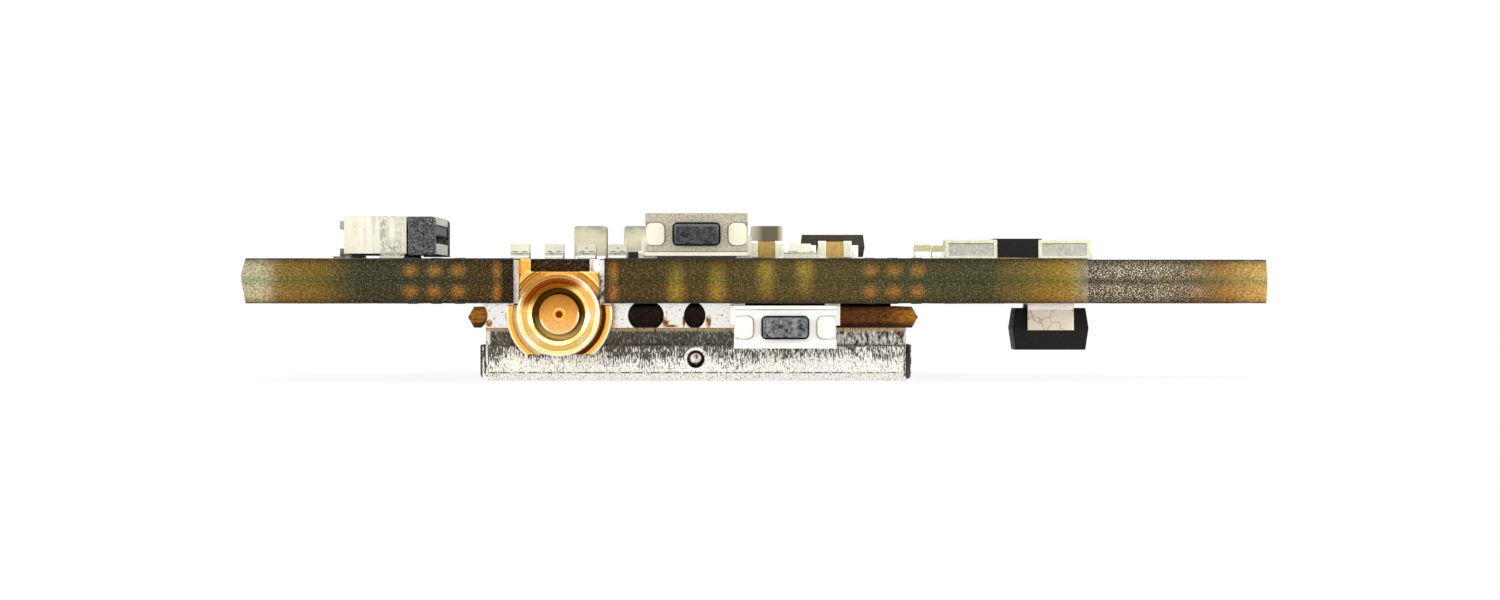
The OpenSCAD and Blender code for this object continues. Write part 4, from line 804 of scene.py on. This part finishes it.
# Darker bands at the top and bottom edges; the dark top is painted shadow under the main board.
plies_and_shade = ramp(
    spread(z, module_low, module_high), (0.0, (0.1, 0.09, 0.09)), (0.2, (0.32, 0.3, 0.3)),
    (0.32, (1.1, 1.08, 1.06)), (0.78, (1.15, 1.15, 1.15)), (0.93, (0.55, 0.5, 0.5)),
    (1.0, (0.25, 0.22, 0.22)))
tone = tint(1.0, tone, plies_and_shade, "MULTIPLY")
tone = tint(1.0, tone, tint(fibre["Tone"], (0.2, 0.2, 0.2), (1.8, 1.8, 1.8)), "MULTIPLY")
tone = tint(both(fibre["Specks"], 0.25), tone, (0.4, 0.18, 0.04))
surface(tone, fibre, 0.45, 0.65, 10)
dress(brown_laminate, "module_board")

joint_solder = finish("joint_solder")
skin = grained(50, 0.45, 5, 5, 5)
x, y, z = axes()
tone = tint(skin["Blotches"], (0.96, 0.92, 0.87), (1.0, 0.98, 0.95))
ran_out = glows((0.0, -0.84, 0.15, 0.22), (0.25, -1.02, 0.3, 0.06), (1.93, -0.82, 0.12, 0.26),
                (0.82, -0.8, 0.07, 0.24), (3.2, -0.7, 0.08, 0.25), (-7.95, -0.9, 0.14, 0.16))
flux = calc("MAXIMUM", calc("MULTIPLY", skin["Specks"], 0.6),
            both(spread(skin["Tone"], 0.15, 0.55), spread(ran_out, 0.0, 0.6)))
tone = tint(spread(flux, 0.05, 0.5), tone, (0.9, 0.46, 0.1))
paint(Metallic=spread(flux, 0, 0.5, 0.9, 0.1))
surface(tint(spread(flux, 0.35, 0.9), tone, (0.34, 0.08, 0.006)), skin, 0.06, 0.16, 1)
dress(joint_solder, "module_solder_joints")

dull_sheet = finish("dull_sheet", Metallic=0.85)
x, y, z = axes()
skin = grained(13, 0.55, 8, 8, 3)
# Painted shade: the frame is dark, in shade under the board, and painted lighter at its right end and at its
# left fold.
tone = tint(skin["Tone"], (0.03, 0.028, 0.022), (0.17, 0.16, 0.125))
tone = tint(spread(calc("ADD", x, skin["Blotches"]), 7.2, 8.2), tone,
            tint(spread(skin["Tone"], 0.3, 0.7), (0.05, 0.035, 0.035), (0.85, 0.83, 0.76)))
tone = tint(both(skin["Specks"], 0.7), tone, (0.6, 0.57, 0.48))
left_fold = both(spread(x, -7.93, -7.96), spread(skin["Tone"], 0.1, 0.4))
tone = tint(left_fold, tone, (0.84, 0.82, 0.76))
flux = both(spread(z, -1.3, -1.22), spread(skin["Tone"], 0.0, 0.5))
tone = tint(flux, tone, (0.62, 0.44, 0.23))
surface(tone, skin, 0.35, 0.55, 10)
dress(dull_sheet, "shield_frame")

scuffed_lid = finish("scuffed_lid", Metallic=1.0)
x, y, z = axes()
scuff = grained(14, 0.62, 17, 17, 3.6)
pits = grained(15, 0.6, 8, 8, 6)
soft = softened(80)
tone = tint(pits["Tone"], (0.78, 0.76, 0.69), (0.98, 0.96, 0.89))
# Dark specks, painted denser towards the top as shade under the board, less so on the right.
streaked = calc("ADD", z, spread(pits["Blotches"], 0, 1, -0.35, 0.35))
painted_light_mask = calc("MULTIPLY", spread(streaked, -3.05, -2.15, 0.0, 0.58), spread(x, 1.0, 4.5, 1.0, 0.78))
specks_and_shade = spread(calc("ADD", scuff["Tone"], painted_light_mask), 0.86, 0.94)
tone = tint(both(specks_and_shade, 0.95), tone, (0.045, 0.042, 0.03))
lid_x, dimple_z = 1.35, -2.52
from_centre = calc("SUBTRACT", x, lid_x)
on_ends = spread(calc("ABSOLUTE", y), 12.2, 12.35)
# Painted shadow: a thin black line at the lid's side edges, on its front and back.
side_shadow_line = calc("MAXIMUM", spread(from_centre, -9.63, -9.67), band(from_centre, 9.46, 9.52, 9.74, 9.7))
tone = tint(both(on_ends, side_shadow_line, spread(z, -3.46, -3.38)), tone, (0.014, 0.009, 0.006))
# Painted reflection and shade in the dimple: a bright ring, a black ring, a brownish inside, gleams and a
# dark spot.
ring = length(from_centre, calc("SUBTRACT", z, dimple_z))
tone = tint(both(on_ends, spread(ring, 0.56, 0.5)), tone, (0.96, 0.94, 0.9))
tone = tint(both(on_ends, spread(ring, 0.42, 0.38)), tone, (0.01, 0.008, 0.006))
dimple_reflection = glows((0.0, -2.47, 0.27, 0.25), across=from_centre)
tone = tint(both(on_ends, spread(dimple_reflection, 0.25, 0.45)), tone, (0.72, 0.62, 0.52))
gleam = glows((-0.13, -2.5, 0.13, 0.17), (0.17, -2.45, 0.06, 0.06), across=from_centre)
tone = tint(both(on_ends, gleam), tone, (1.0, 0.97, 0.92))
dimple_shadow = glows((0.03, -2.4, 0.08, 0.13), across=from_centre)
tone = tint(both(on_ends, dimple_shadow), tone, (0.03, 0.024, 0.018))
lip = both(spread(z, -1.98, -1.93), spread(pits["Tone"], 0.1, 0.4))
tone = tint(both(lip, 0.85), tone, (0.14, 0.08, 0.045))
crease = both(band(z, -3.18, -3.15, -3.08, -3.11), spread(pits["Tone"], 0.2, 0.6))
tone = tint(crease, tone, (0.12, 0.085, 0.06))
tone = tint(both(pits["Specks"], 0.6), tone, (0.16, 0.13, 0.09))
rolled = grained(52, 0.5, 0.35, 7, 7)
on_top = spread(z, -3.46, -3.49)
tone = tint(both(on_top, spread(rolled["Tone"], 0.4, 0.75), 0.38), tone, (0.46, 0.44, 0.4))
tone = tint(both(on_top, spread(rolled["Blotches"], 0.5, 0.75), 0.25), tone, (0.4, 0.37, 0.32))
gloss = calc("ADD", scuff["Tone"], calc("MULTIPLY", on_top, rolled["Tone"]))
paint(Base_Color=tone, Roughness=spread(gloss, 0, 1.6, 0.28, 0.5))
relief(calc("SUBTRACT", scuff["Tone"], specks_and_shade), 6, soft)
dress(scuffed_lid, "shield_lid")

chip_black = finish("chip_black", Specular_IOR_Level=0.2)
x, y, z = axes()
skin = grained(16, 0.4, 14, 14, 14)
soft = softened(50)
tone = tint(skin["Tone"], (0.034, 0.031, 0.021), (0.076, 0.071, 0.05))
tone = tint(spread(x, 10.0, 12.0), tone, tint(skin["Tone"], (0.004, 0.004, 0.003), (0.02, 0.018, 0.015)))
tone = tint(both(soft["Edge"], 0.35), tone, (0.1, 0.1, 0.085))
surface(tone, skin, 0.5, 0.7, 6, soft)
dress(chip_black, "transmitter_chip", "amplifier_chip", "resistor_body", "regulator_body", "control_chip",
      "shunt_body", "diode_body")


# The ribbon connector has a cream moulded housing, a dark lock that slides out on its right, twenty
# contacts with tails to the left, and a tinned nail in each end that is soldered to the board.
cream_moulding = finish("cream_moulding", Specular_IOR_Level=0.25)
x, y, z = axes()
streak = grained(17, 0.3, 3.6, 3.6, 0.6)
skin = grained(18, 0.4, 9, 9, 5)
soft = softened(60)
smear = both(spread(streak["Tone"], 0.55, 0.3), spread(x, -14.2, -13.4))
tone = tint(streak["Blotches"], (0.86, 0.85, 0.715), (0.98, 0.97, 0.83))
handled = glows((-13.66, 3.25, 0.09, 0.75), (-14.1, 3.4, 0.14, 0.45))
smear = calc("MAXIMUM", smear, both(spread(skin["Tone"], 0.25, 0.65), handled))
tone = tint(both(smear, 0.5), tone, (0.5, 0.485, 0.39))
fleck = both(skin["Specks"], spread(x, -14.0, -12.5), spread(y, -11.9, -11.7, 0.55, 0.12))
tone = tint(fleck, tone, (0.34, 0.32, 0.24))
# Painted shadow along the housing's bottom edge.
base_shadow = both(spread(z, 2.26, 2.12), spread(skin["Tone"], 0.35, 0.6))
tone = tint(both(base_shadow, 0.85), tone, (0.06, 0.056, 0.042))
surface(tone, skin, 0.4, 0.55, 6, soft)
dress(cream_moulding, "ribbon_housing")

scuffed_tin = finish("scuffed_tin", Metallic=0.45)
x, y, z = axes()
skin = grained(49, 0.5, 7, 7, 4)
soft = softened(50)
tone = tint(skin["Tone"], (0.5, 0.49, 0.39), (0.86, 0.845, 0.7))
smear = both(spread(skin["Tone"], 0.7, 0.35), glows((-12.84, 3.2, 0.16, 0.8), (-12.35, 2.55, 0.4, 0.28)))
tone = tint(smear, tone, (0.27, 0.265, 0.215))
rubbed = glows((-12.42, 3.25, 0.14, 0.6))
tone = tint(both(rubbed, 0.7), tone, (0.98, 0.965, 0.82))
# Painted shadow along the bottom edge of the nails and contacts.
base_shadow = both(spread(z, 2.36, 2.22), spread(skin["Tone"], 0.3, 0.6))
tone = tint(both(base_shadow, 0.85), tone, (0.06, 0.056, 0.042))
# Painted shade: the contact tails at the left are dark, the lower ones darkest.
tone = tint(spread(x, -14.5, -14.7, 0.0, 0.75), tone,
            tint(spread(z, 2.9, 3.2), (0.06, 0.056, 0.042), (0.34, 0.33, 0.27)))
surface(tone, skin, 0.36, 0.55, 8, soft)
dress(scuffed_tin, "ribbon_nails", "ribbon_contacts")

dark_lock = finish("dark_lock", Specular_IOR_Level=0.25)
skin = grained(19, 0.62, 6.5, 6.5, 6.5)
soft = softened(60)
tone = tint(spread(skin["Tone"], 0.2, 0.8), (0.004, 0.006, 0.009), (0.115, 0.124, 0.128))
tone = tint(both(skin["Specks"], 0.6), tone, (0.34, 0.35, 0.35))
surface(tone, skin, 0.42, 0.65, 12, soft)
dress(dark_lock, "ribbon_lock")


# The lamps are small laminate bases with a moulded resin lens. Four stand end-on in a row behind
# the jack, and one lies side-on beside the upper button.
lamp_base = finish("lamp_base", Specular_IOR_Level=0.3)
x, y, z = axes()
skin = grained(20, 0.4, 8, 8, 8)
tone = tint(skin["Tone"], (0.68, 0.65, 0.5), (0.86, 0.84, 0.69))
tone = tint(both(spread(z, 2.17, 2.23), skin["Tone"], 0.9), tone, (0.1, 0.09, 0.06))
surface(tone, skin, 0.4, 0.55, 4)
dress(lamp_base, *[f"lamp_{number}_base" for number in (1, 2, 3, 4)], "side_lamp_base")

end_lenses = [f"lamp_{number}_lens" for number in (1, 2, 3, 4)]
# Painted shade: the end lenses, behind the jack, are darker copies of the side lens.
for name, lenses, seed, dim, pale in (
        ("end_lens", end_lenses, 21, (0.68, 0.678, 0.545), (0.84, 0.835, 0.695)),
        ("side_lens", ["side_lamp_lens"], 44, (0.97, 0.955, 0.765), (1.0, 0.99, 0.815))):
    resin = finish(name, Specular_IOR_Level=0.4)
    x, y, z = axes()
    skin = grained(seed, 0.25, 4, 4, 4)
    soft = softened(50)
    tone = tint(skin["Blotches"], dim, pale)
    seam = both(spread(z, 2.37, 2.33), spread(skin["Tone"], 0.45, 0.6))
    tone = tint(both(seam, 0.5), tone, (0.32, 0.31, 0.24))
    if lenses == end_lenses:
        lead_frame = glows(
            *[(middle + aside, 2.33, 0.16, 0.032) for middle in lamp_middles for aside in (-0.2, 0.2)],
            *[(middle, 2.49, 0.05, 0.04) for middle in lamp_middles[2:]])
        tone = tint(lead_frame, tone, (0.05, 0.048, 0.036))
    tone = tint(both(soft["Edge"], 0.3), tone, (0.42, 0.42, 0.36))
    surface(tone, skin, 0.18, 0.3, 2, soft)
    dress(resin, *lenses)


# The capacitors are fired ceramic blocks, tan in the small ones, with tinned ends. The large ones
# at the back have painted shade on their ends: greyer, darker towards the top, darkest on the right one.
tan_ceramic = finish("tan_ceramic", Specular_IOR_Level=0.25)
skin = grained(22, 0.35, 7, 7, 7)
soft = softened(50)
tone = tint(skin["Tone"], (0.56, 0.345, 0.093), (0.82, 0.54, 0.17))
surface(tone, skin, 0.4, 0.55, 6, soft)
dress(tan_ceramic, "module_capacitors", "small_capacitor_1", "small_capacitor_2", "right_capacitor_1",
      "right_capacitor_2", "large_capacitor_1", "large_capacitor_2", "large_capacitor_3")

grey_ends = finish("grey_ends", Metallic=0.3)
x, y, z = axes()
skin = grained(45, 0.35, 5, 5, 5)
soft = softened(100)
# Painted shade: darker towards the top, and a dark middle on the right one's end.
wavy = calc("ADD", z, spread(skin["Blotches"], 0, 1, -0.2, 0.2))
tone = ramp(spread(wavy, 2.4, 3.8), (0.0, (0.62, 0.58, 0.42)), (0.45, (0.92, 0.85, 0.59)),
            (0.7, (0.8, 0.75, 0.54)), (0.86, (0.5, 0.475, 0.36)), (1.0, (0.4, 0.385, 0.3)))
third_in_shade = ramp(
    spread(x, 3.85, 5.38), (0.0, (0.62, 0.6, 0.46)), (0.22, (0.4, 0.37, 0.27)), (0.38, (0.15, 0.131, 0.075)),
    (0.82, (0.16, 0.139, 0.078)), (0.9, (0.44, 0.4, 0.26)), (1.0, (0.8, 0.75, 0.54)))
tone = tint(spread(x, 3.0, 3.5), tone, third_in_shade)
surface(tone, skin, 0.34, 0.5, 6, soft)
dress(grey_ends, "large_capacitor_ends")


# The power inductor behind the upper button is a block of coated metal powder, pressed round its coil.
# Its two ends are tinned and soldered to the board.
pressed_powder = finish("pressed_powder", Specular_IOR_Level=0.3)
skin = grained(23, 0.5, 10, 10, 10)
tone = tint(skin["Tone"], (0.065, 0.067, 0.072), (0.125, 0.13, 0.138))
surface(tone, skin, 0.5, 0.7, 10)
dress(pressed_powder, "inductor_body")


# The current shunt has a black body between two tinned caps with a sunk grey panel in their sides.
# The surge diode under the board has broad leads, folded down its ends and soldered to the board.
shunt_caps = finish("shunt_caps", Metallic=0.25)
x, y, z = axes()
skin = grained(46, 0.4, 7, 7, 5)
soft = softened(60)
tone = tint(skin["Tone"], (0.84, 0.81, 0.57), (0.99, 0.96, 0.73))
panel = spread(y, -7.475, -7.455)
front_side = spread(y, -7.2, -7.3)
tone = tint(both(panel, front_side), tone, tint(skin["Tone"], (0.42, 0.43, 0.35), (0.74, 0.75, 0.63)))
surface(tone, skin, 0.34, 0.5, 6, soft)
dress(shunt_caps, "shunt_terminals")

folded_leads = finish("folded_leads", Metallic=0.75)
spot = millimetres()
skin = grained(47, 0.45, 4, 4, 6)
soft = softened(80)
tone = tint(skin["Blotches"], (0.92, 0.79, 0.63), (0.99, 0.9, 0.78))
crack_place = add("VectorMath", {0: spot, 1: add("TexNoise", {"Vector": spot, "Scale": 1.5}).outputs[1]})
cracks = add("TexVoronoi", {"Vector": crack_place.outputs[0], "Scale": 0.9},
             feature="DISTANCE_TO_EDGE").outputs[0]
tone = tint(spread(cracks, 0.035, 0.01, 0.0, 0.7), tone, (0.5, 0.34, 0.2))
surface(tone, skin, 0.4, 0.55, 6, soft)
dress(folded_leads, "diode_leads")


# Every chip part is held by solder that ran up its ends and set with a hollow face. One fillet is
# hollowed out of a block by a bevelled edge, and each joint is a copy at its own size.
block((0, -0.5, 0), (1, 0.5, 1))
pick("edges", lambda edge: all(corner.co.x > 0.9 and corner.co.z > 0.9 for corner in edge.verts))
bpy.ops.mesh.bevel(offset_type="PERCENT", offset_pct=94, segments=6, profile=0.14, affect="EDGES")
bpy.ops.object.mode_set(mode="OBJECT")


def joint(x, y, turn, run, width, rise, face=board_top):
    """Where a fillet goes, in millimetres: its wall's middle, its turn about Z, and its size."""
    place = Matrix.Translation((x / 1000, y / 1000, face)) @ Matrix.Rotation(math.radians(turn), 4, "Z")
    if face < board_top:
        place = place @ Matrix.Rotation(math.pi, 4, "X")
    return place @ Matrix.Diagonal((run / 1000, width / 1000, rise / 1000, 1))


def ends_along_x(low_x, high_x, y, *size):
    """The two joints of a part whose ends face left and right."""
    return [joint(low_x, y, 180, *size), joint(high_x, y, 0, *size)]


def ends_along_y(x, low_y, high_y, *size):
    """The two joints of a part whose ends face front and back."""
    return [joint(x, low_y, -90, *size), joint(x, high_y, 90, *size)]


repeat(
    *ends_along_x(3.78, 5.28, -13.9, 0.28, 0.76, 0.5), *ends_along_x(6.86, 8.36, -13.9, 0.28, 0.76, 0.5),
    *ends_along_x(5.32, 6.82, -15.975, 0.5, 0.8, 0.22), *ends_along_x(-1.97, -1.02, -11.5, 0.2, 0.46, 0.24),
    *[place for x in lamp_middles for place in ends_along_y(x, -13.5, -12.0, 0.3, 0.78, 0.18)],
    *[place for x in (-3.97, -1.55, 4.6) for place in ends_along_y(x, 7.0, 10.2, 0.45, 1.45, 0.3)],
    *ends_along_y(12.06, 2.0, 3.5, 0.28, 0.76, 0.45), *ends_along_y(12.96, 4.2, 5.7, 0.28, 0.76, 0.45),
    *ends_along_x(12.8, 19.5, -5.9, 0.4, 3.0, 0.34), *ends_along_y(-12.405, -12.3, 1.3, 0.35, 1.05, 0.14),
    *[joint(-15.2, y, 180, 0.4, 0.3, 0.13) for y in ribbon_tails],
    joint(17.73, -6.2, -90, 0.35, 2.1, 0.3, 0.0), joint(17.73, -1.4, 90, 0.35, 2.1, 0.3, 0.0))
settle("chip_fillets", solder, 50)
